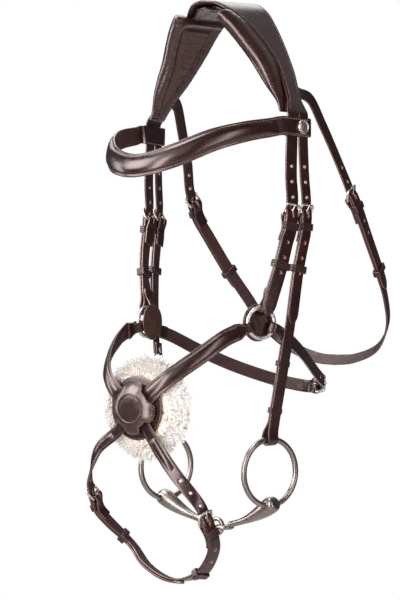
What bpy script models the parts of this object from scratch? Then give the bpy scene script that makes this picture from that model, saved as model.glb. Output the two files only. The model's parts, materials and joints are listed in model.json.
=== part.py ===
"""A leather bridle with a figure-eight noseband and a loose-ring bit, in metres.

+Z is up, the horse faces -Y and its near side is +X. The origin is where the crown sits on the
poll. Every strap is a band laid along a route, and its fittings are placed on the same route.
"""
import math
from collections import namedtuple

import bmesh
import bpy
from mathutils import Matrix, Vector

# Driving sizes: the head that the bridle fits. Places below are shares of these three.
SPAN = 0.100            # half the width across the cheek buckles
REACH = 0.165           # how far the nose pad lies in front of the poll
DROP = 0.490            # height of the poll above the middle of the bit rings

# Leather
LEATHER = 0.0024        # thickness of every strap
GAP = 0.0003            # space between pieces that touch
EDGE_SHARE = 0.72       # a strap is skived to this share of its thickness at its edges
NOSEBAND_WIDTH = 0.016
CHEEK_WIDTH = 0.013
LOWER_WIDTH = 0.013
THROAT_WIDTH = 0.014
JAW_WIDTH = 0.014
UPPER_WIDTH = 0.018
BROW_WIDTH = 0.020
BROW_FRONT_WIDTH = 0.026
RING_LOOP_WIDTH = 0.011  # straps narrow to this where they loop a ring
SPLIT = 0.001           # slit between the two billets of one side

# Crown
CROWN_WIDTH = 0.080     # front to back over the poll
BILLET_START = 0.112    # how far below the poll the sheet has become two billets
THROAT_ROOT = 0.020     # the throat strap leaves the sheet this far above the billets
PAD_THICKNESS = 0.0085
PAD_FORWARD = 0.031     # the pad's front roll stands this far out of the sheet at most
PAD_INSET = 0.009       # the pad's rear edge lies this far inside the sheet's

# Buckles
WIRE = 0.0013           # radius of a buckle frame's wire
FRAME_LENGTH = 0.012    # bar to top, along the strap
FRAME_CORNER = 0.0032
FRAME_SIDE_GAP = 0.0006
BUCKLE_CLEAR = 0.00088  # between the two frames that lie side by side on the cheek
TONGUE = 0.0009         # radius of a tongue's wire
TONGUE_EYE_GAP = 0.00025
TONGUE_TIP = 0.0018     # how far the tongue passes the frame's top
TONGUE_LIFT = math.radians(30)
TONGUE_WRAP = math.radians(275)
SLOT_GAP = 0.0005
FOLD_RETURN = 0.028     # length of the layer turned back behind a bar
FOLD_EASE = 0.012       # the turned layer comes back against the strap over this length

# Keepers
KEEPER = 0.0011         # thickness of a keeper's band
KEEPER_LENGTH = 0.0075
NARROW_KEEPER_LENGTH = 0.006
KEEPER_GAP = 0.0004
KEEPER_TRAVEL = 0.0022   # a sliding keeper has at least this much straight strap either side
FIXED_KEEPER_AT = 0.0108  # below the bar
NOSEBAND_SLIDE_SHARE = 0.5185  # each sliding keeper's place below its bar, over the tail's length
CHEEK_SLIDE_SHARE = 0.4912
THROAT_SLIDE_SHARE = 0.787
CHIN_NEAR_SLIDE_SHARE = 0.85
CHIN_FAR_SLIDE_SHARE = 0.4304
JAW_SLIDE_SHARE = 0.718

# Punched holes and how far each billet runs past its bar
HOLE = 0.0015           # radius
HOLE_PITCH = 0.0161
NOSEBAND_TAIL = 0.108
CHEEK_TAIL = 0.114
THROAT_TAIL = 0.122
CHIN_NEAR_TAIL = 0.080
CHIN_FAR_TAIL = 0.158
JAW_TAIL = 0.078

# Rings
RING_RADIUS = 0.0158    # middle of the wire
RING_WIRE = 0.0022
RING_CLEAR = 0.0014     # a straight fold needs this much room round a curved wire
BIT_RING_RADIUS = 0.035
BIT_RING_WIRE = 0.0030
RING_LEAD = 0.008       # a strap runs straight for this length into its ring
RING_RETURN = 0.020
RING_X_SHARE, RING_Y_SHARE, RING_Z_SHARE = 0.78, -0.30, -0.679
RING_YAW = {"near": math.radians(22), "far": math.radians(5)}
JAW_LEAN = {"near": math.radians(32), "far": math.radians(12)}
BIT_X_SHARE, BIT_Y_SHARE = 0.71, -0.152
BIT_YAW = {"near": math.radians(13.5), "far": math.radians(-11)}
CHEEK_ANGLE = math.radians(73)
FRONT_ANGLE = math.radians(197)
JAW_ANGLE = math.radians(-22)
GUARD_WIDTH = 0.035
GUARD_HEIGHT = 0.039

# Bit
EYE_RADIUS = 0.0092
EYE_CLEAR = 0.0005
ARM_END_RADIUS = 0.0034
LOOP_RADIUS = 0.0080    # middle of an end loop's wire
LOOP_WIRE = 0.0024
JOINT_DROP = 0.062      # the joint of the mouthpiece hangs this far below the rings' middle
JOINT_FORWARD = 0.019
ARM_SAG = 0.006

# Nose pad and sheepskin
NOSE_DROP = 0.4195
PAD_WIDTH = 0.064
PAD_HEIGHT = 0.062
PAD_DOME = 0.0075
NOTCH_SHARE = 0.80      # the pad's outline draws in to this share between its lobes
UPPER_NOTCH = math.radians(36)
LOWER_NOTCH = math.radians(-51)
NOTCH_SPREAD = math.radians(34)
BACKING_SAG = 0.0045
FLAT_DISC_SHARE = 0.4    # a domed disc is flat out to this share of its size
BACKING_SHARE = 1.06
FLEECE_RADIUS = 0.052
FLEECE_THICKNESS = 0.026
FLEECE_SAG = 0.013      # its rim lies this far behind its middle
PADDED_RISE = 0.0030    # padding stands this far above a padded strap's edge

# Studs
ROSETTE_RADIUS = 0.0075
ROSETTE_RISE = 0.0022
ROSETTE_BACK = 0.005    # set behind the middle of the browband's loop
STUD_HEAD = 0.0034
STUD_NECK = 0.0012

BROW_DROP = 0.128
BROW_RETURN = 0.014
CHEEK_RETURN = 0.100    # the bit cheekpiece's end comes back up its inner side this far

# Roundness
TURN_LIMIT = math.radians(15)
SAG_LIMIT = 0.0004      # a straight run leaves its smooth line by less than this
FINE_STEP = 0.0008
CURVE_STEPS = 14
FOLD_STEPS = 5
FLAT_SHARE = 1.35       # a strap is straight this many frame lengths either side of a bar

STACK = LEATHER + GAP                       # from one layer's middle to the next one's
FOLD_RADIUS = WIRE + GAP + LEATHER / 2
SEWN_LEVEL = KEEPER + KEEPER_GAP - LEATHER * 0.35  # puts a sewn keeper's back inside its strap
RING_FOLD = RING_WIRE + RING_CLEAR + LEATHER / 2
BIT_FOLD = BIT_RING_WIRE + RING_CLEAR + LEATHER / 2
EYE_PATH = WIRE + TONGUE_EYE_GAP + TONGUE   # the tongue's eye round the bar
SLOT_HALF = TONGUE + SLOT_GAP               # a tongue's slot, either side of its middle
SLOT_REACH = EYE_PATH + SLOT_HALF           # and how far it runs from the bar
FRAME_TOP = LEATHER / 2 + GAP + WIRE        # level of the frame's top edge
FRAME_REACH = FRAME_SIDE_GAP + 2 * WIRE     # how far a frame stands out beside its strap
BUCKLE_PITCH = (NOSEBAND_WIDTH + CHEEK_WIDTH) / 2 + 2 * FRAME_REACH + BUCKLE_CLEAR

SIDES = {"near": 1, "far": -1}

# Routes: place shares of SPAN, REACH and DROP, then the direction that the strap faces
NOSEBAND_SHARES = (
    (0.965, -0.121, -0.229, 0.99, -0.15, 0), (0.970, -0.133, -0.290, 0.99, -0.15, 0),
    (0.973, -0.142, -0.367, 0.99, -0.15, 0), (0.970, -0.146, -0.452, 0.98, -0.17, 0),
    (0.950, -0.182, -0.506, 0.98, -0.20, 0.05), (0.915, -0.221, -0.563, 0.97, -0.25, 0.1))
# The bit cheekpiece runs behind the noseband's strap: each second value is its place behind the
# same point above, as a share of the distance between the two straps' buckles
CHEEK_SHARES = (
    (0.988, 0.6894, -0.229, 0.99, -0.15, 0), (0.993, 0.7803, -0.290, 0.99, -0.15, 0),
    (1.000, 0.9167, -0.367, 0.99, -0.15, 0), (1.003, 1.0, -0.452, 0.99, -0.15, 0),
    (0.993, 1.1061, -0.506, 0.98, -0.15, 0.05), (0.970, 1.1212, -0.565, 0.98, -0.18, 0.1))
CHEEK_LOW_SHARES = (
    (0.915, -0.112, -0.694, 0.97, -0.20, 0.12), (0.830, -0.139, -0.816, 0.96, -0.25, 0.1))
CHEEK_BAR = 3           # the point of both routes above where the buckle's bar lies
UPPER_SHARES = (
    (0.710, -0.606, -0.710, 0.90, -0.42, 0.1), (0.600, -0.776, -0.747, 0.75, -0.65, 0.15),
    (0.420, -0.932, -0.790, 0.40, -0.90, 0.1), (0.250, -0.979, -0.820, 0.05, -1, 0),
    (0.120, -0.979, -0.843, 0, -1, 0))
CHIN_SHARES = (
    (0.110, -0.979, -0.880, 0, -1, 0), (0.210, -0.979, -0.908, 0.05, -1, 0),
    (0.480, -0.952, -0.982, 0.50, -0.85, 0), (0.780, -0.842, -1.090, 1, -0.20, -0.1),
    (0.755, -0.768, -1.147, 0.90, -0.2, -0.45), (0.550, -0.715, -1.194, 0.55, -0.25, -0.8),
    (0.280, -0.691, -1.218, 0.20, -0.2, -1), (0.000, -0.667, -1.218, -0.1, -0.2, -1),
    (-0.280, -0.655, -1.194, -0.4, -0.2, -0.9), (-0.520, -0.618, -1.157, -0.7, -0.2, -0.7),
    (-0.690, -0.739, -1.104, -0.95, -0.1, -0.35), (-0.740, -0.842, -1.051, -1, -0.3, 0),
    (-0.500, -0.972, -0.947, -0.4, -0.90, 0), (-0.210, -0.979, -0.904, -0.05, -1, 0),
    (-0.110, -0.979, -0.880, 0, -1, 0))
CHIN_NEAR_BAR = 3       # the point of the chin route where each buckle's bar lies
CHIN_FAR_BAR = 11
JAW_SHARES = (
    (0.830, -0.115, -0.706, 0.99, 0, 0), (0.785, 0.012, -0.720, 0.98, 0.12, 0),
    (0.700, 0.206, -0.747, 0.95, 0.3, 0), (0.530, 0.521, -0.798, 0.85, 0.5, -0.1),
    (0.310, 0.709, -0.822, 0.52, 0.83, -0.1), (0.015, 0.758, -0.826, -0.05, 0.98, -0.1),
    (-0.270, 0.688, -0.813, -0.5, 0.85, -0.1), (-0.540, 0.461, -0.782, -0.85, 0.5, -0.1),
    (-0.700, 0.194, -0.745, -0.96, 0.25, 0),
    (-0.790, -0.048, -0.710, -0.99, 0.05, 0))
JAW_BAR = 6             # counted with the two points at the ring
THROAT_SHARES = (
    (0.905, 0.110, -0.194, 0.97, 0, 0.2), (0.962, 0.200, -0.247, 1, 0.05, 0.12),
    (1.025, 0.303, -0.316, 1, 0.1, 0.08), (1.100, 0.430, -0.408, 1, 0.1, 0),
    (1.080, 0.594, -0.486, 0.98, 0.18, 0), (1.030, 0.782, -0.565, 0.95, 0.28, -0.05),
    (0.970, 0.921, -0.622, 0.90, 0.38, -0.12), (0.860, 1.048, -0.686, 0.8, 0.5, -0.3),
    (0.600, 1.152, -0.741, 0.6, 0.65, -0.45), (0.250, 1.176, -0.767, 0.25, 0.75, -0.6),
    (0.000, 1.179, -0.771, 0, 0.8, -0.6))
THROAT_BAR = 4          # counted with the point at the crown
BROW_SHARES = (
    (0.920, -0.303, -0.266, 0.97, -0.2, 0.02), (0.840, -0.503, -0.278, 0.93, -0.35, 0.05),
    (0.670, -0.703, -0.298, 0.75, -0.62, 0.1), (0.450, -0.867, -0.327, 0.5, -0.82, 0.2),
    (0.220, -0.939, -0.344, 0.2, -0.93, 0.28), (0.000, -0.961, -0.350, 0, -0.95, 0.3))
# Crown stations: place over SPAN, height over BROW_DROP, front and rear edge over CROWN_WIDTH,
# and how far the front edge dips, over BROW_DROP
CROWN_SHARES = (
    (0.00, 0.10, -0.61, 0.39, 0.035), (0.15, 0.08, -0.57, 0.38, 0.035),
    (0.28, 0.01, -0.47, 0.35, 0.03), (0.41, -0.12, -0.31, 0.32, 0.01),
    (0.53, -0.27, -0.19, 0.29, 0), (0.64, -0.41, -0.12, 0.24, 0), (0.74, -0.54, -0.14, 0.18, 0),
    (0.82, -0.65, -0.19, 0.11, 0), (0.90, -0.77, -0.25, 0.05, 0))
# How far the crown pad's roll stands out, as shares of PAD_FORWARD, station by station
ROLL_SHARES = (-0.4, -0.1, 0.45, 1.0, 1.05, 1.0, 0.85, 0.65, 0.35, 0.15)

PAD_END_SHARE = 0.35     # a crown pad ends this share of a station inside the sheet's two ends

Row = namedtuple("Row", "centre across outward half inner slit pad")


for thing in list(bpy.data.objects):
    bpy.data.objects.remove(thing, do_unlink=True)
PARTS = bpy.data.collections.new("figure_eight_bridle")
CUTTERS = bpy.data.collections.new("cutters")
bpy.context.scene.collection.children.link(PARTS)
bpy.context.scene.collection.children.link(CUTTERS)


# Materials
def material(name, colour, roughness, metallic=0.0):
    made = bpy.data.materials.new(name)
    made.use_nodes = True
    shader = made.node_tree.nodes["Principled BSDF"]
    shader.inputs["Base Color"].default_value = (*colour, 1.0)
    shader.inputs["Roughness"].default_value = roughness
    shader.inputs["Metallic"].default_value = metallic
    return made


LEATHER_LOOK = material("brown_leather", (0.050, 0.022, 0.017), 0.35)
LINING_LOOK = material("soft_leather", (0.060, 0.028, 0.022), 0.45)
STEEL_LOOK = material("stainless_steel", (0.62, 0.60, 0.58), 0.22, 1.0)
FLEECE_LOOK = material("sheepskin", (0.86, 0.80, 0.66), 0.95)


# Places and routes
def spot(x_share, y_share, z_share):
    return Vector((SPAN * x_share, REACH * y_share, DROP * z_share))


def knots(shares, side=1):
    """The points of a route and the way its strap faces at each, on one side of the head."""
    made = []
    for x, y, z, face_x, face_y, face_z in shares:
        place = spot(side * x, y, z)
        made.append((place, Vector((side * face_x, face_y, face_z)).normalized()))
    return made


def cheek_knots(side):
    """The bit cheekpiece's points: its upper ones keep their place behind the noseband's strap."""
    made = []
    for (place, face), shares in zip(knots(CHEEK_SHARES, side), CHEEK_SHARES):
        ahead = knots(NOSEBAND_SHARES)[len(made)][0]
        made.append((Vector((place.x, ahead.y + BUCKLE_PITCH * shares[1], place.z)), face))
    return made + knots(CHEEK_LOW_SHARES, side)


def blend(points, position):
    """A smooth line through points, read at a position counted in points."""
    first = min(int(position), len(points) - 2)
    a, b = points[first], points[first + 1]
    before = points[first - 1] if first > 0 else 2 * a - b
    after = points[first + 2] if first + 2 < len(points) else 2 * b - a
    line = [before, a, b, after]
    times = [0.0]
    for start, end in zip(line, line[1:]):
        times.append(times[-1] + math.sqrt((end - start).length))
    now = times[1] + (times[2] - times[1]) * (position - first)
    for reach in (1, 2, 3):
        for i in range(4 - reach):
            if reach == 3:
                start, end = times[1], times[2]
            else:
                start, end = times[i], times[i + reach]
            line[i] = line[i] + (line[i + 1] - line[i]) * ((now - start) / (end - start))
    return line[0]


class Frame:
    """A place on a route: along it, across the strap, and outward from its face."""

    def __init__(self, origin, along, outward):
        self.origin = origin
        self.along = along.normalized()
        self.across = outward.cross(self.along).normalized()
        self.outward = self.along.cross(self.across).normalized()

    def place(self, along=0.0, across=0.0, outward=0.0):
        return self.origin + self.along * along + self.across * across + self.outward * outward

    def matrix(self, origin, sign=1):
        """World matrix with X back along the route (for sign 1), Y across and Z outward."""
        x_axis, z_axis = self.along * -sign, self.outward
        y_axis = z_axis.cross(x_axis)
        turned = Matrix((x_axis, y_axis, z_axis)).transposed()
        return Matrix.Translation(origin) @ turned.to_4x4()


class Route:
    """A smooth line followed by straight runs, so that every layer on it bends at one place."""

    def __init__(self, route_knots, bars=()):
        places = [place for place, face in route_knots]
        faces = [face for place, face in route_knots]
        count = (len(places) - 1) * CURVE_STEPS
        positions = [i / CURVE_STEPS for i in range(count + 1)]
        line = [blend(places, position) for position in positions]
        lengths = [0.0]
        for a, b in zip(line, line[1:]):
            lengths.append(lengths[-1] + (b - a).length)
        self.length = lengths[-1]
        self.marks = lengths[::CURVE_STEPS]
        self.breaks, self.frames = [], []
        kept = {(bar + k) * CURVE_STEPS for bar in bars for k in (-1, 0, 1)}
        for i, position in enumerate(positions):
            ahead, behind = line[min(i + 1, count)], line[max(i - 1, 0)]
            first = min(int(position), len(faces) - 2)
            face = faces[first].lerp(faces[first + 1], ease(position - first))
            here = Frame(line[i], ahead - behind, face)
            if 0 < i < count and i not in kept:
                if any(abs(position - bar) < 1 for bar in bars):
                    continue
                turn = here.along.angle(self.frames[-1].along)
                twist = here.outward.angle(self.frames[-1].outward)
                sag = turn * (lengths[i] - self.breaks[-1]) / 8
                if max(turn, twist) < TURN_LIMIT and sag < SAG_LIMIT:
                    continue
            self.breaks.append(lengths[i])
            self.frames.append(here)

        self.flats = [tuple(k * CURVE_STEPS for k in (bar - 1, bar, bar + 1)) for bar in bars]
        self.flats = [(lengths[a], lengths[c], self.frames[self.breaks.index(lengths[b])])
                      for a, b, c in self.flats]

    def frame(self, distance):
        number = 1
        while number < len(self.breaks) - 1 and self.breaks[number] < distance:
            number += 1
        start, end = self.breaks[number - 1:number + 1]
        share = (distance - start) / (end - start)
        a, b = self.frames[number - 1:number + 1]
        place = a.origin.lerp(b.origin, share)
        for first, last, flat_frame in self.flats:
            if first < distance < last:
                return Frame(place, flat_frame.along, flat_frame.outward)
        return Frame(place, a.along.lerp(b.along, share), a.outward.lerp(b.outward, share))

    def run(self, distance):
        """The frame at a distance, turned to lie exactly along its straight run."""
        number = next(i for i, end in enumerate(self.breaks) if end > distance)
        line = self.frames[number].origin - self.frames[number - 1].origin
        here = self.frame(distance)
        return Frame(here.origin, line, here.outward)


def flattened(route_knots, index):
    """Makes a route straight for the length of the buckle whose bar is at one of its points."""
    place, face = route_knots[index]
    ahead = route_knots[index + 1][0] - place
    behind = place - route_knots[index - 1][0]
    along = (ahead / ahead.length ** 2 + behind / behind.length ** 2).normalized()
    above = (place - along * FRAME_LENGTH * FLAT_SHARE, face)
    below = (place + along * FRAME_LENGTH * FLAT_SHARE, face)
    return route_knots[:index] + [above, (place, face), below] + route_knots[index + 1:]


def ease(share):
    share = min(1.0, max(0.0, share))
    return share * share * (3 - 2 * share)


# Bands: rows of points across a strap, joined into a sheet and thickened
def stations(route, start, end, forced):
    """Distances along a route: both ends, the places forced, and the route's own bends."""
    forced = [start] + [d for d in forced if start < d < end] + [end]
    bends = [d for d in route.breaks if start < d < end
             and all(abs(d - f) > FINE_STEP for f in forced)]
    return sorted(set(forced + bends))


def band(route, start, end, width, level=lambda d: 0.0, holes=(), slot=None, pad=lambda d: 0.0,
         extra=()):
    """Rows of a strap from start to end. Width, level and pad are functions of the distance."""
    shapes = {}
    for number, hole in enumerate(holes, 1):
        corner = HOLE * math.sqrt(3) / 2
        for shift, inner in ((-corner, HOLE / 2), (0.0, HOLE), (corner, HOLE / 2)):
            shapes[hole + shift] = (inner, number)
    if slot:
        for distance in slot[:2]:
            shapes[distance] = (slot[2], len(holes) + 1)
    places = stations(route, start, end, list(set(shapes) | set(extra)))
    rows = []
    for distance in places:
        inner, slit = shapes.get(distance, (HOLE, 0))
        if slot and slot[0] < distance < slot[1]:
            inner, slit = slot[2], len(holes) + 1
        frame = route.frame(distance)
        rows.append(Row(frame.place(outward=level(distance)), frame.across, frame.outward,
                        width(distance) / 2, inner, slit, pad(distance)))
    return rows


def fold(route, at, sign, radius, reach, width, slot_half=0.0, settle=None):
    """Rows of the end turned back round a bar or ring: its tip first, then over the bar."""
    frame = route.frame(at)
    ease_length = min(FOLD_EASE, reach) if settle is None else settle
    lengths = [0.0, SLOT_REACH if slot_half else ease_length * 0.3, ease_length * 0.6,
               ease_length, reach]
    ends = sorted((at, at + sign * reach))
    bends = stations(route, ends[0], ends[1], [at + sign * d for d in lengths])
    rows = []
    for length in sorted((abs(d - at) for d in bends), reverse=True):
        there = route.frame(at + sign * length)
        back = STACK + (2 * radius - STACK) * (1 - ease(length / ease_length))
        slit = 1 if slot_half and length < SLOT_REACH + GAP else 0
        inner = slot_half if slit else HOLE
        rows.append(Row(there.place(outward=-back), there.across, -there.outward,
                        width(at + sign * length) / 2, inner, slit, 0.0))
    for i in range(1, FOLD_STEPS):
        turn = math.pi * (1 - i / FOLD_STEPS)
        centre = frame.place(-sign * radius * math.sin(turn), 0.0,
                             radius * math.cos(turn) - radius)
        face = frame.along * (-sign * math.sin(turn)) + frame.outward * math.cos(turn)
        rows.append(Row(centre, frame.across, face, width(at) / 2, slot_half or HOLE,
                        1 if slot_half else 0, 0.0))
    return rows


def tip(route, end, width, level, sign=1):
    """Rows of a billet's rounded point, from its shoulder out."""
    rows = []
    for back_share, width_share in ((0.80, 0.95), (0.30, 0.65), (0.0, 0.24)):
        distance = end - sign * width * back_share
        frame = route.frame(distance)
        rows.append(Row(frame.place(outward=level(distance)), frame.across, frame.outward,
                        width * width_share / 2, HOLE * width_share, 0, 0.0))
    return rows


def columns(row, holed):
    if holed:
        offsets = (-row.half, -row.inner, row.inner, row.half)
    else:
        offsets = (-row.half, 0.0, row.half)
    return [row.centre + row.across * offset for offset in offsets]


def add(name, mesh, look, collection=None):
    thing = bpy.data.objects.new(name, mesh)
    (collection or PARTS).objects.link(thing)
    if look:
        mesh.materials.append(look)
    return thing


def mesh_of(name, shape):
    bmesh.ops.recalc_face_normals(shape, faces=shape.faces)
    mesh = bpy.data.meshes.new(name)
    shape.to_mesh(mesh)
    shape.free()
    return mesh


def join_rows(shape, first, second, closed_slit=True):
    for i in range(len(first) - 1):
        if closed_slit or i != 1:
            shape.faces.new((first[i], first[i + 1], second[i + 1], second[i]))


def thicken(thing, edge_points, thickness=LEATHER):
    """Solidify about the sheet's middle, thinner along the edge points."""
    group = thing.vertex_groups.new(name="thickness")
    group.add([v.index for v in thing.data.vertices], 1.0, "REPLACE")
    group.add(sorted(edge_points), EDGE_SHARE, "REPLACE")
    solid = thing.modifiers.new("thickness", "SOLIDIFY")
    solid.thickness = thickness
    solid.offset = 0.0
    solid.vertex_group = group.name


def strap(name, rows, look=None):
    holed = any(row.slit for row in rows)
    shape = bmesh.new()
    made = [[shape.verts.new(point) for point in columns(row, holed)] for row in rows]
    for i in range(len(rows) - 1):
        closed = not (rows[i].slit and rows[i].slit == rows[i + 1].slit)
        join_rows(shape, made[i], made[i + 1], closed)
    shape.verts.index_update()
    edges = {verts[k].index for verts in made for k in (0, -1)}
    thing = add(name, mesh_of(name, shape), look or LEATHER_LOOK)
    thicken(thing, edges)
    return thing


def loft(name, rows, section, look=None, round_ends=0.0):
    """A closed body through rows, each with the section's points (across, outward)."""
    shape = bmesh.new()
    made = []
    for row in rows:
        ring = [row.centre + row.across * a + row.outward * o for a, o in section(row)]
        made.append([shape.verts.new(point) for point in ring])
    for first, second in zip(made, made[1:]):
        for i in range(len(first)):
            j = (i + 1) % len(first)
            shape.faces.new((first[i], first[j], second[j], second[i]))
    shape.faces.new(made[0])
    shape.faces.new(made[-1])
    if round_ends:
        for verts in (made[0], made[-1]):
            middle = sum((v.co for v in verts), Vector()) / len(verts)
            for vert in verts:
                vert.co = middle + (vert.co - middle) * round_ends
    return add(name, mesh_of(name, shape), look or LEATHER_LOOK)


def padded_section(row):
    """A flat-backed strap whose middle is padded up between its stitched edges."""
    t, w, p = LEATHER / 2, row.half, row.pad
    return ((-w, -t * EDGE_SHARE), (w, -t * EDGE_SHARE), (w, t * EDGE_SHARE), (w * 0.68, t),
            (w * 0.35, t + p), (-w * 0.35, t + p), (-w * 0.68, t), (-w, t * EDGE_SHARE))


# Keepers, buckles and tongues
def keeper_mesh(name, width, low, high, length):
    """A flat band round a stack of straps, from one level to another, rounded at its corners."""
    inner = (width / 2 + KEEPER_GAP, low - KEEPER_GAP, high + KEEPER_GAP)
    shape = bmesh.new()
    rings = []
    for half_length in (-length / 2, length / 2):
        for grow in (0.0, KEEPER):
            side, bottom, top = inner[0] + grow, inner[1] - grow, inner[2] + grow
            cut = grow * 0.6
            outline = ((side, bottom + cut), (side, top - cut), (side - cut, top),
                       (cut - side, top), (-side, top - cut), (-side, bottom + cut),
                       (cut - side, bottom), (side - cut, bottom))
            if not grow:
                outline = ((side, bottom), (side, top), (side, top), (-side, top), (-side, top),
                           (-side, bottom), (-side, bottom), (side, bottom))
            rings.append([shape.verts.new((half_length, a, b)) for a, b in outline])
    count = len(rings[0])
    for first, second in ((0, 1), (1, 3), (3, 2), (2, 0)):
        for i in range(count):
            j = (i + 1) % count
            shape.faces.new((rings[first][i], rings[first][j], rings[second][j],
                             rings[second][i]))
    bmesh.ops.remove_doubles(shape, verts=shape.verts, dist=GAP / 10)
    return mesh_of(name, shape)


def settled(route, at):
    """The middle of the nearest straight run of a route that is long enough for a keeper."""
    reach = KEEPER_LENGTH / 2 + KEEPER_TRAVEL
    runs = [(a, b) for a, b in zip(route.breaks, route.breaks[1:]) if b - a > 2 * reach]
    middles = [min(max(at, a + reach), b - reach) for a, b in runs]
    return min(middles, key=lambda middle: abs(middle - at))


def slider(name, route, at, width):
    """A keeper that slides along a straight run: its origin is its own middle, X along the run."""
    frame = route.run(settled(route, at))
    mesh = keeper_mesh(name, width, -LEATHER / 2, STACK + LEATHER / 2, KEEPER_LENGTH)
    thing = add(name, mesh, LEATHER_LOOK)
    thing.matrix_world = frame.matrix(frame.origin)
    return thing


def fixed_keeper(strap_thing, name, route, at, width, length=KEEPER_LENGTH, face=1):
    """A keeper sewn into its strap, over the layer on the strap's outer or inner face."""
    frame = route.frame(at)
    levels = sorted((face * SEWN_LEVEL, face * (STACK + LEATHER / 2)))
    mesh = keeper_mesh(name, width, levels[0], levels[1], length)
    operand = add(name, mesh, None, CUTTERS)
    operand.matrix_world = frame.matrix(frame.origin)
    operand.hide_render = True
    operand.display_type = "WIRE"
    sewn = strap_thing.modifiers.new(name, "BOOLEAN")
    sewn.operation = "UNION"
    sewn.solver = "EXACT"
    sewn.object = operand


def wire(name, points, radius, cyclic, radii=None, sides=1):
    curve = bpy.data.curves.new(name, "CURVE")
    curve.dimensions = "3D"
    curve.bevel_depth = radius
    curve.bevel_resolution = sides
    curve.use_fill_caps = True
    spline = curve.splines.new("POLY")
    spline.points.add(len(points) - 1)
    for i, point in enumerate(points):
        spline.points[i].co = (*point, 1.0)
        spline.points[i].radius = radii[i] if radii else 1.0
    spline.use_cyclic_u = cyclic
    curve.materials.append(STEEL_LOOK)
    thing = bpy.data.objects.new(name, curve)
    PARTS.objects.link(thing)
    return thing


def buckle_half(width):
    return width / 2 + FRAME_SIDE_GAP + WIRE


def tongue_slope():
    """Angle of the tongue's shaft, from its eye round the bar to the top of the frame."""
    rise = FRAME_TOP + WIRE + GAP + TONGUE + FOLD_RADIUS
    return math.atan2(rise, FRAME_LENGTH) - math.asin(EYE_PATH / math.hypot(rise, FRAME_LENGTH))


def billet_level(bar, sign=1):
    """A billet lies flat above its buckle and one layer out once it has passed the bar."""
    return lambda d: STACK * ease(1 + sign * (d - bar) / FRAME_LENGTH)


def tongue_slot(bar, sign=1):
    """The stretch of billet that the tongue passes through, from rest to its full lift."""
    def height(slope, reach):
        return EYE_PATH / math.cos(slope) + reach * math.tan(slope) - FOLD_RADIUS

    slope = tongue_slope()
    face = LEATHER / 2 + TONGUE / math.cos(slope) + SLOT_GAP
    above = 0.0
    while height(slope, above) < billet_level(0.0)(-above) + face:
        above += GAP
    lifted = slope + TONGUE_LIFT
    back = STACK - LEATHER / 2 - height(lifted, 0.0)
    below = back / math.tan(lifted) - TONGUE / math.sin(lifted) - SLOT_GAP
    ends = sorted((bar - sign * above, bar - sign * min(below, -SLOT_GAP)))
    return ends[0], ends[1], SLOT_HALF


def buckle(label, route, bar, width, sign=1):
    """A wire frame and its tongue on a strap whose own end starts at the bar."""
    frame = route.frame(bar)
    half = buckle_half(width)
    origin = frame.place(outward=-FOLD_RADIUS)
    rise = FRAME_TOP + FOLD_RADIUS
    length = math.hypot(FRAME_LENGTH, rise)
    tilt = math.atan2(rise, FRAME_LENGTH)
    points = []
    corners = ((length, half, 0), (length, -half, 270), (0.0, -half, 180), (0.0, half, 90))
    for end, side, quarter in corners:
        centre_x = end - FRAME_CORNER if end else FRAME_CORNER
        centre_y = side - FRAME_CORNER if side > 0 else side + FRAME_CORNER
        for step in (90, 45, 0):
            turn = math.radians(quarter + step)
            x = centre_x + FRAME_CORNER * math.cos(turn)
            y = centre_y + FRAME_CORNER * math.sin(turn)
            points.append((x * math.cos(tilt), y, x * math.sin(tilt)))
    made = wire(label + "_buckle", points, WIRE, True)
    made.matrix_world = frame.matrix(origin, sign)

    slope = tongue_slope()
    steps = 6
    path = []
    for i in range(steps + 1):
        turn = slope + math.pi / 2 + TONGUE_WRAP * (1 - i / steps)
        path.append((EYE_PATH * math.cos(turn), 0.0, EYE_PATH * math.sin(turn)))
    start = path[-1]
    reach = length + TONGUE_TIP
    for share in (0.5, 1.0):
        path.append((start[0] + reach * share * math.cos(slope), 0.0,
                     start[2] + reach * share * math.sin(slope)))
    radii = [1.0] * (len(path) - 2) + [0.95, 0.75]
    tongue = wire(label + "_tongue", path, TONGUE, False, radii)
    tongue.matrix_world = frame.matrix(origin, sign)


def buckle_fold(route, bar, width, sign=1):
    """Rows of a strap's end turned back round the bar of its buckle, with the tongue's slot."""
    return fold(route, bar, sign, FOLD_RADIUS, FOLD_RETURN, flat(width), SLOT_HALF)


def own_slot(bar, sign=1):
    """The tongue's slot in the strap that carries the buckle."""
    ends = sorted((bar, bar + sign * SLOT_REACH))
    return ends[0], ends[1], SLOT_HALF


def hole_places(bar, before, after, sign=1):
    """Punched holes either side of the one that the tongue uses."""
    used = bar - sign * FRAME_LENGTH / 3
    return [used + sign * HOLE_PITCH * k for k in range(-before, after + 1) if k]


def flat(width):
    return lambda d: width


# Rings
def ring_directions(yaw, side):
    """A ring's outward normal and its level direction to the rear."""
    normal = Vector((side * math.cos(yaw), -math.sin(yaw), 0.0))
    rear = Vector((side * math.sin(yaw), math.cos(yaw), 0.0))
    return normal, rear


def noseband_ring_centre(label):
    return spot(SIDES[label] * RING_X_SHARE, RING_Y_SHARE, RING_Z_SHARE)


def bit_ring_centre(label):
    return spot(SIDES[label] * BIT_X_SHARE, BIT_Y_SHARE, -1.0)


def ring_knots(centre, normal, rear, angle, radius, fold_radius, lean=0.0):
    """The last two points of a strap that loops a ring, outermost first; it may lean inward."""
    away = rear * math.cos(angle) + Vector((0, 0, 1)) * math.sin(angle)
    face = normal * math.cos(lean) + away * math.sin(lean)
    leave = away * math.cos(lean) - normal * math.sin(lean)
    near_end = centre + away * radius + face * fold_radius
    return [(near_end + leave * RING_LEAD, face), (near_end, face)]


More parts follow.
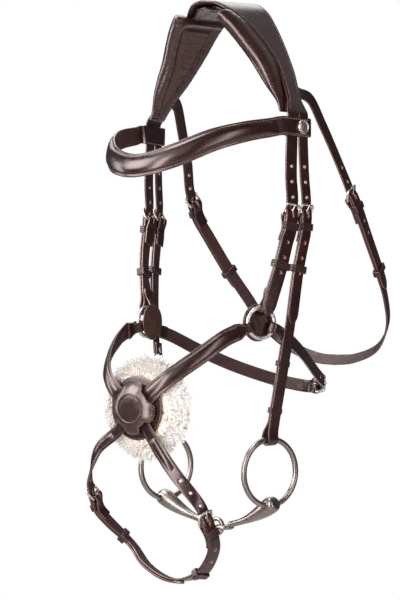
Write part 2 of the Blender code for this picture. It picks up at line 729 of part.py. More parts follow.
def torus(name, centre, normal, radius, tube, around, across):
    bpy.ops.mesh.primitive_torus_add(major_radius=radius, minor_radius=tube,
                                     major_segments=around, minor_segments=across)
    thing = bpy.context.object
    thing.name = name
    thing.data.name = name
    for owner in list(thing.users_collection):
        owner.objects.unlink(thing)
    PARTS.objects.link(thing)
    turn = Vector((0, 0, 1)).rotation_difference(normal).to_matrix().to_4x4()
    thing.matrix_world = Matrix.Translation(centre) @ turn
    thing.data.materials.append(STEEL_LOOK)
    thing.data.shade_smooth()
    return thing


def ring_width(width, ring_end, sign):
    """Strap width that narrows into its loop; sign 1 when the ring is at the route's start."""
    def at(d):
        inside = (d - ring_end) * sign
        share = ease((inside - RING_LEAD * 0.6) / (RING_LEAD * 1.5))
        return RING_LOOP_WIDTH + (width - RING_LOOP_WIDTH) * share
    return at


def build_side(label):
    side = SIDES[label]
    centre = noseband_ring_centre(label)
    normal, rear = ring_directions(RING_YAW[label], side)
    torus("noseband_ring_" + label, centre, normal, RING_RADIUS, RING_WIRE, 22, 6)

    # Noseband cheek strap: buckle at its top, loop round the ring at its end
    ends = ring_knots(centre, normal, rear, CHEEK_ANGLE, RING_RADIUS, RING_FOLD)
    line = flattened(knots(NOSEBAND_SHARES, side), CHEEK_BAR)
    noseband = Route(line + ends, (CHEEK_BAR + 1,))
    bar = noseband.marks[CHEEK_BAR + 1]
    width = ring_width(NOSEBAND_WIDTH, noseband.length, -1)
    rows = buckle_fold(noseband, bar, NOSEBAND_WIDTH)
    rows += band(noseband, bar, noseband.length, width, slot=own_slot(bar))
    rows += reversed(fold(noseband, noseband.length, -1, RING_FOLD, RING_RETURN, width))
    cheek = strap("noseband_cheek_" + label, slit_together(rows))
    fixed_keeper(cheek, "noseband_keeper_seat_" + label, noseband, bar + FIXED_KEEPER_AT,
                 NOSEBAND_WIDTH)
    buckle("noseband_" + label, noseband, bar, NOSEBAND_WIDTH)
    slider("noseband_keeper_" + label, noseband, bar + NOSEBAND_TAIL * NOSEBAND_SLIDE_SHARE,
           NOSEBAND_WIDTH)
    guard(label, centre, normal)

    # Bit cheekpiece: buckle at its top, long turned end on its inner side
    bit_centre = bit_ring_centre(label)
    bit_normal, bit_rear = ring_directions(BIT_YAW[label], side)
    torus("bit_ring_" + label, bit_centre, bit_normal, BIT_RING_RADIUS, BIT_RING_WIRE, 30, 6)
    ends = ring_knots(bit_centre, bit_normal, bit_rear, math.pi / 2, BIT_RING_RADIUS, BIT_FOLD)
    line = flattened(cheek_knots(side), CHEEK_BAR)
    bit_line = Route(line + ends, (CHEEK_BAR + 1,))
    bar = bit_line.marks[CHEEK_BAR + 1]
    rows = buckle_fold(bit_line, bar, CHEEK_WIDTH)
    rows += band(bit_line, bar, bit_line.length, flat(CHEEK_WIDTH), slot=own_slot(bar))
    rows += cheek_return(bit_line)
    cheek = strap("bit_cheekpiece_" + label, slit_together(rows))
    fixed_keeper(cheek, "bit_keeper_seat_" + label, bit_line, bar + FIXED_KEEPER_AT,
                 CHEEK_WIDTH)
    for number, share in enumerate((0.30, 0.80), 1):
        fixed_keeper(cheek, "bit_return_keeper_%d_%s" % (number, label), bit_line,
                     bit_line.length - CHEEK_RETURN * share, CHEEK_WIDTH,
                     NARROW_KEEPER_LENGTH, -1)
    buckle("bit_" + label, bit_line, bar, CHEEK_WIDTH)
    slider("bit_keeper_" + label, bit_line, bar + CHEEK_TAIL * CHEEK_SLIDE_SHARE, CHEEK_WIDTH)
    hook_stud(label, bit_line)

    # Upper strap of the figure eight: loop round the ring, then padded to the nose pad
    ends = ring_knots(centre, normal, rear, FRONT_ANGLE, RING_RADIUS, RING_FOLD)
    upper = Route(ends[::-1] + knots(UPPER_SHARES, side))
    width = ring_width(UPPER_WIDTH, 0.0, 1)
    pad_end = upper.length - PAD_WIDTH * 0.28

    def padding(d):
        return PADDED_RISE * ease((d - 2 * RING_LEAD) / RING_LEAD) * ease((pad_end - d) / GAP)

    rows = fold(upper, 0.0, 1, RING_FOLD, RING_RETURN, width)
    rows += band(upper, 0.0, upper.length, width, pad=padding,
                 extra=(2 * RING_LEAD, 2.5 * RING_LEAD, 3 * RING_LEAD, pad_end - 2 * GAP, pad_end))
    loft("upper_strap_" + label, rows, padded_section)
    return noseband, bit_line


def slit_together(rows):
    """Gives the slot over the fold and the slot below it one number, so that they are one."""
    first = next(i for i, row in enumerate(rows) if row.slit)
    made = list(rows)
    for i in range(first, len(made)):
        if not made[i].slit:
            break
        made[i] = made[i]._replace(slit=1)
    return made


def cheek_return(route):
    return reversed(fold(route, route.length, -1, BIT_FOLD, CHEEK_RETURN, flat(CHEEK_WIDTH),
                         settle=0.2 * CHEEK_RETURN))


def disc(name, frame_matrix, width, height, thickness, look, sag=0.0, count=20):
    """An oval plate, X across and Y up in its own frame; its rim lies back by the sag."""
    shape = bmesh.new()
    rings = []
    for share in (FLAT_DISC_SHARE, 1.0) if sag else (1.0,):
        ring = []
        for i in range(count):
            turn = 2 * math.pi * i / count
            ring.append(shape.verts.new((width / 2 * share * math.cos(turn),
                                         height / 2 * share * math.sin(turn),
                                         sag * (FLAT_DISC_SHARE - share))))
        rings.append(ring)
    shape.faces.new(rings[0])
    for i in range(count if sag else 0):
        shape.faces.new((rings[0][i - 1], rings[0][i], rings[1][i], rings[1][i - 1]))
    thing = add(name, mesh_of(name, shape), look)
    thing.matrix_world = frame_matrix
    solid = thing.modifiers.new("thickness", "SOLIDIFY")
    solid.thickness = thickness
    solid.offset = 0.0
    return thing


def axes_matrix(origin, x_axis, y_axis, z_axis):
    turned = Matrix((x_axis, y_axis, z_axis)).transposed()
    return Matrix.Translation(origin) @ turned.to_4x4()


def guard(label, centre, normal):
    """The oval leather that keeps a noseband ring off the cheek."""
    depth = RING_FOLD + LEATHER + GAP
    place = centre - normal * depth
    x_axis = Vector((0, 0, 1)).cross(normal)
    disc("ring_guard_" + label, axes_matrix(place, x_axis, Vector((0, 0, 1)), normal),
         GUARD_WIDTH, GUARD_HEIGHT, LEATHER, LINING_LOOK)


def turned(name, profile, look, segments=16):
    """A turned piece: profile points (radius, height), top to bottom on its outer side."""
    mesh = bpy.data.meshes.new(name)
    points = [(radius, 0.0, height) for radius, height in profile]
    mesh.from_pydata(points, [(i, i + 1) for i in range(len(points) - 1)], [])
    thing = add(name, mesh, look)
    screw = thing.modifiers.new("turn", "SCREW")
    screw.steps = segments
    screw.render_steps = segments
    screw.use_merge_vertices = True
    screw.merge_threshold = GAP / 100
    return thing


def hook_stud(label, route):
    """Button stud that holds the cheekpiece's turned end."""
    at = route.length - CHEEK_RETURN * 0.92
    frame = route.frame(at)
    face = STACK + LEATHER / 2 + GAP
    profile = ((0.0, STUD_NECK * 1.4), (STUD_HEAD * 0.6, STUD_NECK * 1.2),
               (STUD_HEAD, STUD_NECK * 0.5), (STUD_HEAD, 0.0), (0.0, 0.0))
    stud = turned("hook_stud_" + label, profile, STEEL_LOOK, 12)
    stud.matrix_world = axes_matrix(frame.place(outward=-face), frame.along,
                                    -frame.across, -frame.outward)


# Headpiece: one sheet over the poll, split below into two billets and a throat strap a side
def crown_edges(lines, side):
    """Front and rear edge of the sheet from the middle of the poll to the billets."""
    front, rear = [], []
    for x, z, ahead, behind, dip in CROWN_SHARES:
        place = Vector((side * SPAN * x, 0.0, BROW_DROP * z))
        front.append(place + Vector((0.0, CROWN_WIDTH * ahead, -BROW_DROP * dip)))
        rear.append(place + Vector((0.0, CROWN_WIDTH * behind, 0.0)))
    noseband, bit_line = lines
    first, second = noseband.frame(0.0), bit_line.frame(0.0)
    front.append(first.place(across=-side * NOSEBAND_WIDTH / 2))
    rear.append(second.place(across=side * CHEEK_WIDTH / 2))
    return front, rear


ROOT_CLEAR_SHARE = 0.2  # no other row of the sheet lies this close to the root, in stations


def sheet_positions(rear):
    """Where the sheet has rows; four of them are the columns of the throat strap's root."""
    count = (len(rear) - 1) * CURVE_STEPS
    positions = [i / CURVE_STEPS for i in range(count + 1)]
    walked = [0.0]
    for a, b in zip(positions[::-1], positions[-2::-1]):
        walked.append(walked[-1] + (blend(rear, a) - blend(rear, b)).length)
    low = THROAT_ROOT
    wanted = [low, low + THROAT_WIDTH / 2 - HOLE, low + THROAT_WIDTH / 2 + HOLE,
              low + THROAT_WIDTH]
    root = []
    for distance in wanted:
        i = next(k for k, value in enumerate(walked) if value >= distance)
        share = (distance - walked[i - 1]) / (walked[i] - walked[i - 1])
        position = positions[-i] + (positions[-i - 1] - positions[-i]) * share
        root.append(position)
    root.sort()
    regular = [0.0, 0.5, 1.0, 1.5, 2.0, 2.5, 3.0, 4.0, 5.0, 6.0, 7.0, 8.0, 8.5, 9.0]
    free = [p for p in regular if p < root[0] - ROOT_CLEAR_SHARE or p > root[-1] + ROOT_CLEAR_SHARE]
    return sorted(free + root), root


def sheet_rows(front, rear, positions):
    total = NOSEBAND_WIDTH + SPLIT + CHEEK_WIDTH
    middle_a = NOSEBAND_WIDTH / 2
    middle_b = NOSEBAND_WIDTH + SPLIT + CHEEK_WIDTH / 2
    places = [0.0, middle_a - HOLE, middle_a + HOLE, NOSEBAND_WIDTH, NOSEBAND_WIDTH + SPLIT,
              middle_b - HOLE, middle_b + HOLE, total]
    rows = []
    for position in positions:
        a, b = blend(front, position), blend(rear, position)
        rows.append([a + (b - a) * (place / total) for place in places])
    return rows


def weave(shape, start, rows, flip):
    """Continues a sheet from four of its own points through the rows of a billet."""
    last, last_slit = start, 0
    for row in rows:
        points = columns(row, True)
        verts = [shape.verts.new(point) for point in (points[::-1] if flip else points)]
        closed = not (row.slit and row.slit == last_slit)
        join_rows(shape, last, verts, closed)
        last, last_slit = verts, row.slit


def billet(route, first, bar, tail, width, before, after, sign=1):
    """Rows of a billet from its first row to its point, with its slot and holes."""
    level = billet_level(bar, sign)
    end = bar + sign * tail
    holes = hole_places(bar, before, after, sign)
    slot = tongue_slot(bar, sign)
    shoulder = end - sign * width
    rise = [bar - sign * FRAME_LENGTH * share for share in (1.0, 0.5, 0.0)]
    if sign > 0:
        rows = band(route, first, shoulder, flat(width), level, holes, slot, extra=rise)
        return rows + tip(route, end, width, level)
    rows = band(route, shoulder, first, flat(width), level, holes, slot, extra=rise)
    return tip(route, end, width, level, sign)[::-1] + rows


def build_headpiece(lines, throat):
    shape = bmesh.new()
    grid = {}
    roots = {}
    for label, side in SIDES.items():
        front, rear = crown_edges(lines[label], side)
        positions, root = sheet_positions(rear)
        rows = sheet_rows(front, rear, positions)
        grid[label] = []
        for number, row in enumerate(rows):
            if number == 0 and label == "far":
                grid[label].append(grid["near"][0])
            else:
                grid[label].append([shape.verts.new(point) for point in row])
        for first, second in zip(grid[label], grid[label][1:]):
            join_rows(shape, first, second)
        roots[label] = [grid[label][positions.index(p)][-1] for p in root]
        noseband, bit_line = lines[label]
        bottom = grid[label][-1]
        flip = side < 0
        for route, corners, tail, width in (
                (noseband, bottom[:4], NOSEBAND_TAIL, NOSEBAND_WIDTH),
                (bit_line, bottom[4:], CHEEK_TAIL, CHEEK_WIDTH)):
            rows = billet(route, HOLE_PITCH, route.marks[CHEEK_BAR + 1], tail, width, 3, 4)
            weave(shape, corners, rows, flip)
        route = throat[label]
        rows = billet(route, THROAT_WIDTH / 2, route.marks[THROAT_BAR + 1], THROAT_TAIL,
                      THROAT_WIDTH, 2, 3)
        first = columns(rows[0], True)
        start = roots[label]
        backward = (first[0] - start[0].co).length > (first[-1] - start[0].co).length
        weave(shape, start, rows, backward)
    shape.verts.index_update()
    edges = {v.index for v in shape.verts if v.is_boundary and not near_hole(v)}
    thing = add("headpiece", mesh_of("headpiece", shape), LEATHER_LOOK)
    thicken(thing, edges)


MOST_RIM_POINTS = 40    # a hole's rim has fewer points than this, and a strap's edge has more


def near_hole(vert):
    """True on the rim of a punched hole or slot, whose open edges form a small ring."""
    edge, here = next(e for e in vert.link_edges if e.is_boundary), vert
    for _ in range(MOST_RIM_POINTS):
        here = edge.other_vert(here)
        if here == vert:
            return True
        edge = next(e for e in here.link_edges if e.is_boundary and e != edge)
    return False


def crown_pad(label, lines):
    """Padded lining under one side of the sheet, with a full roll along its front."""
    side = SIDES[label]
    front, rear = crown_edges(lines, side)
    first = PAD_END_SHARE
    last = len(front) - 1 - PAD_END_SHARE
    count = 14
    rows = []
    depth = LEATHER / 2 + GAP + PAD_THICKNESS / 2
    for i in range(count + 1):
        position = first + (last - first) * i / count
        a, b = blend(front, position), blend(rear, position)
        ahead = blend(front, min(position + 0.1, len(front) - 1)) - blend(front, position - 0.1)
        across = (b - a).normalized()
        inward = across.cross(ahead).normalized()
        if inward.dot(Vector((-side, 0.0, -1.0))) < 0:
            inward.negate()
        number = min(int(position), len(ROLL_SHARES) - 2)
        here, after = ROLL_SHARES[number:number + 2]
        roll = (here + (after - here) * (position - number)) * PAD_FORWARD
        a = a - across * roll + inward * depth
        b = b - across * PAD_INSET + inward * depth
        shrink = ease((i + 1.2) / 2.5) * ease((count - i + 1.2) / 2.5)
        rows.append(Row((a + b) / 2, across, -inward, (b - a).length / 2, 0.0, 0,
                        PAD_THICKNESS / 2 * shrink))

    def section(row):
        w, t = row.half, row.pad
        roll = min(t * 2.2, w)
        return ((-w, 0.0), (-w + t * 0.35, -t * 0.8), (-w + t, -t), (-w + roll, -t * 0.75),
                (w - t, -t * 0.6), (w, 0.0), (w - t, t), (-w + t, t), (-w + t * 0.35, t * 0.8))

    loft("crown_pad_" + label, rows, section, LINING_LOOK)


# Browband: padded over the forehead, each end looped round the headpiece
def build_browband(lines):
    ends = {}
    for label, side in SIDES.items():
        noseband, bit_line = lines[label]
        down = BROW_DROP - BILLET_START
        a, b = noseband.frame(down), bit_line.frame(down)
        front = a.place(across=-side * NOSEBAND_WIDTH / 2)
        rear = b.place(across=side * CHEEK_WIDTH / 2)
        ends[label] = (front, rear, (a.outward + b.outward).normalized())
    points = []
    front, rear, face = ends["near"]
    clear = (rear - front).normalized() * KEEPER_GAP
    ahead = (front - rear).normalized() * BROW_RETURN / 2
    points += [(rear + clear + face * STACK, face), (front - clear + face * STACK, face),
               (front + ahead + face * STACK, face)]
    brow = knots(BROW_SHARES)
    points += brow
    points += [(Vector((-p.x, p.y, p.z)), Vector((-f.x, f.y, f.z))) for p, f in brow[-2::-1]]
    front, rear, face = ends["far"]
    clear = (rear - front).normalized() * KEEPER_GAP
    ahead = (front - rear).normalized() * BROW_RETURN / 2
    points += [(front + ahead + face * STACK, face), (front - clear + face * STACK, face),
               (rear + clear + face * STACK, face)]
    route = Route(points)
    slab = route.marks[1]

    def width(d):
        share = ease((d - slab) / REACH) * ease((route.length - slab - d) / REACH)
        return BROW_WIDTH + (BROW_FRONT_WIDTH - BROW_WIDTH) * share

    def padding(d):
        inside = min(d, route.length - d) - slab - BROW_RETURN
        return PADDED_RISE * ease(inside / BROW_RETURN)

    rows = brow_hook(route, 0.0, 1, slab + BROW_RETURN)
    rows += band(route, 0.0, route.length, width, pad=padding,
                 extra=(slab + BROW_RETURN, slab + 2 * BROW_RETURN,
                        route.length - slab - 2 * BROW_RETURN, route.length - slab - BROW_RETURN))
    rows += reversed(brow_hook(route, route.length, -1, slab + BROW_RETURN))
    loft("browband", rows, padded_section)
    for label, at, sign in (("near", slab / 2, 1), ("far", route.length - slab / 2, -1)):
        rosette(label, route.frame(at - sign * ROSETTE_BACK))
    return route


def brow_hook(route, at, sign, reach):
    """Rows of the browband's end on the inner side of the headpiece, then round its rear edge."""
    frame = route.frame(at)
    rows = []
    for share in (1.0, 0.75, 0.5, 0.0):
        there = route.frame(at + sign * reach * share)
        rows.append(Row(there.place(outward=-2 * STACK), there.across, -there.outward,
                        BROW_WIDTH / 2, HOLE, 0, 0.0))
    for i in range(1, FOLD_STEPS):
        turn = math.pi * (1 - i / FOLD_STEPS)
        centre = frame.place(-sign * STACK * math.sin(turn), 0.0, STACK * math.cos(turn) - STACK)
        face = frame.along * (-sign * math.sin(turn)) + frame.outward * math.cos(turn)
        rows.append(Row(centre, frame.across, face, BROW_WIDTH / 2, HOLE, 0, 0.0))
    return rows


def rosette(label, frame):
    """Low domed stud with a rim on the browband's loop."""
    r, h = ROSETTE_RADIUS, ROSETTE_RISE
    profile = ((0.0, h * 0.85), (r * 0.45, h * 0.8), (r * 0.70, h * 0.62), (r * 0.80, h),
               (r * 0.92, h), (r, h * 0.45), (r, 0.0), (0.0, 0.0))
    stud = turned("rosette_" + label, profile, STEEL_LOOK, 14)
    stud.matrix_world = axes_matrix(frame.place(outward=LEATHER / 2 + GAP), frame.along,
                                    frame.across, frame.outward)


# Chin, jaw and throat straps
def build_chin():
    line = flattened(flattened(knots(CHIN_SHARES), CHIN_FAR_BAR), CHIN_NEAR_BAR)
    route = Route(line, (CHIN_NEAR_BAR + 1, CHIN_FAR_BAR + 3))
    near_bar = route.marks[CHIN_NEAR_BAR + 1]
    far_bar = route.marks[CHIN_FAR_BAR + 3]
    strap("lower_strap_near", billet(route, 0.0, near_bar, CHIN_NEAR_TAIL, LOWER_WIDTH, 3, 3))
    strap("lower_strap_far", billet(route, route.length, far_bar, CHIN_FAR_TAIL, LOWER_WIDTH,
                                    2, 3, -1))
    middle = (near_bar + far_bar) / 2
    rows = buckle_fold(route, near_bar, LOWER_WIDTH)
    rows += band(route, near_bar, middle, flat(LOWER_WIDTH), slot=own_slot(near_bar))
    rows = slit_together(rows)
    tail = band(route, middle, far_bar, flat(LOWER_WIDTH), slot=own_slot(far_bar, -1))[1:]
    tail += reversed(buckle_fold(route, far_bar, LOWER_WIDTH, -1))
    tail = [row._replace(slit=2 if row.slit else 0) for row in tail]
    chin = strap("chin_strap", rows + tail)
    for label, bar, sign, slide in (
            ("near", near_bar, 1, CHIN_NEAR_TAIL * CHIN_NEAR_SLIDE_SHARE),
            ("far", far_bar, -1, CHIN_FAR_TAIL * CHIN_FAR_SLIDE_SHARE)):
        fixed_keeper(chin, "chin_keeper_seat_" + label, route, bar + sign * FIXED_KEEPER_AT,
                     LOWER_WIDTH)
        buckle("chin_" + label, route, bar, LOWER_WIDTH, sign)
        slider("chin_keeper_" + label, route, bar + sign * slide, LOWER_WIDTH)


def build_jaw():
    ends = {}
    for label, side in SIDES.items():
        normal, rear = ring_directions(RING_YAW[label], side)
        ends[label] = ring_knots(noseband_ring_centre(label), normal, rear, JAW_ANGLE,
                                 RING_RADIUS, RING_FOLD, JAW_LEAN[label])
    line = ends["near"][::-1] + knots(JAW_SHARES) + ends["far"]
    route = Route(flattened(line, JAW_BAR), (JAW_BAR + 1,))
    bar = route.marks[JAW_BAR + 1]
    near_width = ring_width(JAW_WIDTH, 0.0, 1)
    far_width = ring_width(JAW_WIDTH, route.length, -1)
    rows = fold(route, 0.0, 1, RING_FOLD, RING_RETURN, near_width)
    level = billet_level(bar)
    end = bar + JAW_TAIL
    rise = [bar - FRAME_LENGTH * share for share in (1.0, 0.5, 0.0)]
    rows += band(route, 0.0, end - JAW_WIDTH, near_width, level, hole_places(bar, 2, 3),
                 tongue_slot(bar), extra=rise + [RING_LEAD * 0.6, 2 * RING_LEAD])
    rows += tip(route, end, JAW_WIDTH, level)
    strap("jaw_strap_near", rows)
    rows = buckle_fold(route, bar, JAW_WIDTH)
    rows += band(route, bar, route.length, far_width, slot=own_slot(bar))
    rows += reversed(fold(route, route.length, -1, RING_FOLD, RING_RETURN, far_width))
    far = strap("jaw_strap_far", slit_together(rows))
    fixed_keeper(far, "jaw_keeper_seat", route, bar + FIXED_KEEPER_AT, JAW_WIDTH)
    buckle("jaw", route, bar, JAW_WIDTH)
    slider("jaw_keeper", route, bar + JAW_TAIL * JAW_SLIDE_SHARE, JAW_WIDTH)


def throat_routes(lines):
    """One route a side, from the root on the crown's rear edge to the middle of the throat."""
    routes = {}
    for label, side in SIDES.items():
        rear = crown_edges(lines[label], side)[1]
        root = sheet_positions(rear)[1]
        place = blend(rear, (root[0] + root[-1]) / 2)
        face = Vector((side * 0.85, 0.0, 0.5)).normalized()
        line = flattened([(place, face)] + knots(THROAT_SHARES, side), THROAT_BAR)
        routes[label] = Route(line, (THROAT_BAR + 1,))
    return routes


def build_throatlash(routes):
    halves = []
    for label in ("near", "far"):
        route = routes[label]
        bar = route.marks[THROAT_BAR + 1]
        rows = buckle_fold(route, bar, THROAT_WIDTH)
        rows += band(route, bar, route.length, flat(THROAT_WIDTH), slot=own_slot(bar))
        halves.append(slit_together(rows))
    far = [row._replace(slit=2 if row.slit else 0, across=-row.across) for row in halves[1]]
    lash = strap("throatlash", halves[0] + far[-2::-1])
    for label in SIDES:
        route = routes[label]
        bar = route.marks[THROAT_BAR + 1]
        fixed_keeper(lash, "throat_keeper_seat_" + label, route, bar + FIXED_KEEPER_AT,
                     THROAT_WIDTH)
        buckle("throat_" + label, route, bar, THROAT_WIDTH)
        slider("throat_keeper_" + label, route, bar + THROAT_TAIL * THROAT_SLIDE_SHARE,
               THROAT_WIDTH)


# Nose pad: backing, straps' ends, domed cover; sheepskin behind
def notch(turn):
    """1 where the middle of a strap leaves the nose pad, easing to 0 on the lobes between."""
    most = 0.0
    for side in SIDES.values():
        for angle in (UPPER_NOTCH, LOWER_NOTCH):
            away = math.atan2(math.sin(angle), side * math.cos(angle)) - turn
            away = abs((away + math.pi) % (2 * math.pi) - math.pi)
            most = max(most, ease((NOTCH_SPREAD - away) / (NOTCH_SPREAD / 2)))
    return most


def build_nose_pad():
    strap_level = Vector((0.0, REACH * -0.979, -NOSE_DROP))
    shape = bmesh.new()
    count, rings = 24, (0.4, 0.75, 0.92, 1.0)
    top = shape.verts.new((0.0, 0.0, PAD_DOME))
    previous = None
    for ring_share in rings:
        ring = []
        for i in range(count):
            turn = 2 * math.pi * i / count
            drawn = notch(turn)
            reach = (1 - (1 - NOTCH_SHARE) * drawn) * ring_share
            fall = ring_share ** 3
            bridge = (STACK + GAP) * drawn
            height = PAD_DOME * (1 - fall) + bridge * fall
            ring.append(shape.verts.new((PAD_WIDTH / 2 * reach * math.cos(turn),
                                         PAD_HEIGHT / 2 * reach * math.sin(turn), height)))
        for i in range(count):
            j = (i + 1) % count
            if previous:
                shape.faces.new((previous[i], previous[j], ring[j], ring[i]))
            else:
                shape.faces.new((top, ring[j], ring[i]))
        previous = ring
    cover = add("nose_pad", mesh_of("nose_pad", shape), LEATHER_LOOK)
    outward = Vector((0.0, -1.0, 0.0))
    x_axis, z_axis = Vector((1.0, 0.0, 0.0)), Vector((0.0, 0.0, 1.0))
    cover.matrix_world = axes_matrix(strap_level, x_axis, z_axis, outward)
    solid = cover.modifiers.new("thickness", "SOLIDIFY")
    solid.thickness = LEATHER
    solid.offset = 0.0

    back = strap_level - outward * STACK
    disc("nose_pad_backing", axes_matrix(back, x_axis, z_axis, outward),
         PAD_WIDTH * BACKING_SHARE, PAD_HEIGHT * BACKING_SHARE, LEATHER, LINING_LOOK,
         BACKING_SAG)
    build_fleece(back - outward * (LEATHER / 2 + GAP), outward, x_axis, z_axis)


def build_fleece(front, outward, x_axis, z_axis):
    """Domed sheepskin disc that follows the nose, thick in the middle and full at the rim."""
    shape = bmesh.new()
    count = 20
    profile = ((0.35, 0.0), (0.70, 0.0), (0.92, 0.10), (1.0, 0.45), (0.93, 0.85), (0.70, 1.0),
               (0.35, 1.0))
    rings = []
    for reach, depth in profile:
        sag = FLEECE_SAG * reach ** 2
        ring = []
        for i in range(count):
            turn = 2 * math.pi * i / count
            ring.append(shape.verts.new((
                FLEECE_RADIUS * reach * math.cos(turn), FLEECE_RADIUS * reach * math.sin(turn),
                -sag - FLEECE_THICKNESS * depth * (1 - 0.25 * reach ** 2))))
        rings.append(ring)
    first = shape.verts.new((0.0, 0.0, 0.0))
    last = shape.verts.new((0.0, 0.0, -FLEECE_THICKNESS))
    for i in range(count):
        j = (i + 1) % count
        shape.faces.new((first, rings[0][i], rings[0][j]))
        shape.faces.new((last, rings[-1][j], rings[-1][i]))
        for a, b in zip(rings, rings[1:]):
            shape.faces.new((a[i], b[i], b[j], a[j]))
    thing = add("sheepskin_disc", mesh_of("sheepskin_disc", shape), FLEECE_LOOK)
    thing.matrix_world = axes_matrix(front, x_axis, z_axis, outward)


# Bit: two arms jointed in the middle, each with a barrel eye on its ring
def build_bit():
    joint = Vector((0.0, -JOINT_FORWARD, -DROP - JOINT_DROP))
    shift = LOOP_RADIUS - LOOP_WIRE - GAP / 2
    for label, side in SIDES.items():
        centre = bit_ring_centre(label)
        normal = ring_directions(BIT_YAW[label], side)[0]
        eye = centre - Vector((0, 0, BIT_RING_RADIUS))
        loop = joint + Vector((side * shift, 0, 0))
        reach = loop - eye
        along = reach.normalized()
        near_loop = loop - along * (LOOP_RADIUS + ARM_END_RADIUS * 0.2)
        steps = 9
        points, radii = [], []
        for i in range(steps + 1):
            share = i / steps
            sag = ARM_SAG * 4 * share * (1 - share)
            points.append(eye + (near_loop - eye) * share - Vector((0, 0, sag)) * 0.5)
            radii.append(1 - (1 - ARM_END_RADIUS / EYE_RADIUS) * ease(share * 1.25) ** 0.8)
        start = points[0] - along * EYE_RADIUS
        points = [start, start + along * EYE_RADIUS * 0.35] + points
        radii = [0.45, 0.85] + radii
        arm = arm_mesh("bit_arm_" + label, points, radii)
        loop_axis = Vector((0, 0, 1)) if side > 0 else Vector((0, 1, 0))
        end_ring = torus("arm_loop_" + label, loop, loop_axis, LOOP_RADIUS, LOOP_WIRE, 16, 6)
        hole = torus("arm_hole_" + label, centre, normal, BIT_RING_RADIUS,
                     BIT_RING_WIRE + EYE_CLEAR, 36, 8)
        for tool, operation in ((hole, "DIFFERENCE"), (end_ring, "UNION")):
            PARTS.objects.unlink(tool)
            CUTTERS.objects.link(tool)
            tool.hide_render = True
            tool.display_type = "WIRE"
            change = arm.modifiers.new(operation.lower(), "BOOLEAN")
            change.operation = operation
            change.solver = "EXACT"
            change.object = tool
        pivot = eye.copy()
        arm.data.transform(Matrix.Translation(-pivot))
        arm.matrix_world = Matrix.Translation(pivot)


def arm_mesh(name, points, radii):
    curve = wire(name + "_core", points, EYE_RADIUS, False, radii, sides=2)
    graph = bpy.context.evaluated_depsgraph_get()
    mesh = bpy.data.meshes.new_from_object(curve.evaluated_get(graph))
    shape = bmesh.new()
    shape.from_mesh(mesh)
    bmesh.ops.remove_doubles(shape, verts=shape.verts, dist=GAP / 10)
    bpy.data.objects.remove(curve, do_unlink=True)
    return add(name, mesh_of(name, shape), STEEL_LOOK)


def main():
    lines = {label: build_side(label) for label in SIDES}
    throats = throat_routes(lines)
    build_headpiece(lines, throats)
    for label in SIDES:
        crown_pad(label, lines[label])
    build_browband(lines)
    build_chin()
    build_jaw()
    build_throatlash(throats)
    build_nose_pad()
    build_bit()


main()
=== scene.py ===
# %% [markdown]
# # A figure-eight bridle, dressed for its picture
# A bridle is a set of flat leather straps that hang from a padded headpiece over the poll. Its
# noseband runs as a figure eight: two padded straps cross the nose under a round pad, and two
# more fasten behind the chin. A jointed bit hangs from the cheekpieces by two loose rings.
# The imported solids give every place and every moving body. This script lays finer pieces over
# them, along the same routes, so that each piece keeps the place of the solid it stands for.

# %% The frame, and the box that it fills
import json
import math
import random
from bisect import bisect_right
from collections import namedtuple

import bmesh
import bpy
from mathutils import Matrix, Vector, noise

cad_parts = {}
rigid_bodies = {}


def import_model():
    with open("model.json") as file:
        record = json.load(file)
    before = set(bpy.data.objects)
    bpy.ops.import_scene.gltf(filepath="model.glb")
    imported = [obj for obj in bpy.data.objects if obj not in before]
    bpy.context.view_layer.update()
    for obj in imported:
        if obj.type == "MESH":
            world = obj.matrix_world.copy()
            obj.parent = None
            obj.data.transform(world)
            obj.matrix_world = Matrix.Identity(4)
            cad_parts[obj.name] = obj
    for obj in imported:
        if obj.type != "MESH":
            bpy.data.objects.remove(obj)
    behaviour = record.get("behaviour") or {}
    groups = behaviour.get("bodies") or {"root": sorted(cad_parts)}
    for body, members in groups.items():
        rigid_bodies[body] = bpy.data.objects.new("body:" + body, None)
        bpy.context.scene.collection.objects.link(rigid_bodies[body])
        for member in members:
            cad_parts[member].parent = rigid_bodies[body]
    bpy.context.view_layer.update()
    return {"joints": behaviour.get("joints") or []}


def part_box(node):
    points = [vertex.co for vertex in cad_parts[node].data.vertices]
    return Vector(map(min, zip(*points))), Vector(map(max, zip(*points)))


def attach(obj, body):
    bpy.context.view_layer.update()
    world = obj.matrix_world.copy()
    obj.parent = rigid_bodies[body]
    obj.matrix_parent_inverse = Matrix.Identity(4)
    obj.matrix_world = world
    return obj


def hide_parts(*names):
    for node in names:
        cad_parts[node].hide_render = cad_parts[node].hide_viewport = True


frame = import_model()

SIDES = {"near": 1, "far": -1}
UP = Vector((0.0, 0.0, 1.0))

# %% [markdown]
# ## Camera, room and lamps
# The picture was taken from the near side, a little ahead of the horse, level with its cheeks
# and from more than two metres away. A long lens at that distance keeps the straps' true
# proportions. The room is a flat pale floor far below: the eye sees it as white, polished metal
# sees a little of that white, and the lamps stay soft so that dark leather keeps its own colour.

# %% Camera
CAMERA_PLACE = (1.4210, -1.8088, -0.3089)
CAMERA_TURN = math.radians(39)
LENS = 127.8             # millimetres, on a sensor 36 mm high
lens = bpy.data.cameras.new("camera")
lens.sensor_fit = "VERTICAL"
lens.sensor_height = 36
lens.lens = LENS
lens.clip_end = 60
camera = bpy.data.objects.new("camera", lens)
camera.location = CAMERA_PLACE
camera.rotation_euler = (math.pi / 2, 0, CAMERA_TURN)
bpy.context.scene.collection.objects.link(camera)
bpy.context.scene.camera = camera
bpy.context.scene.view_settings.view_transform = "Standard"
print("camera", [round(x, 3) for x in camera.location])

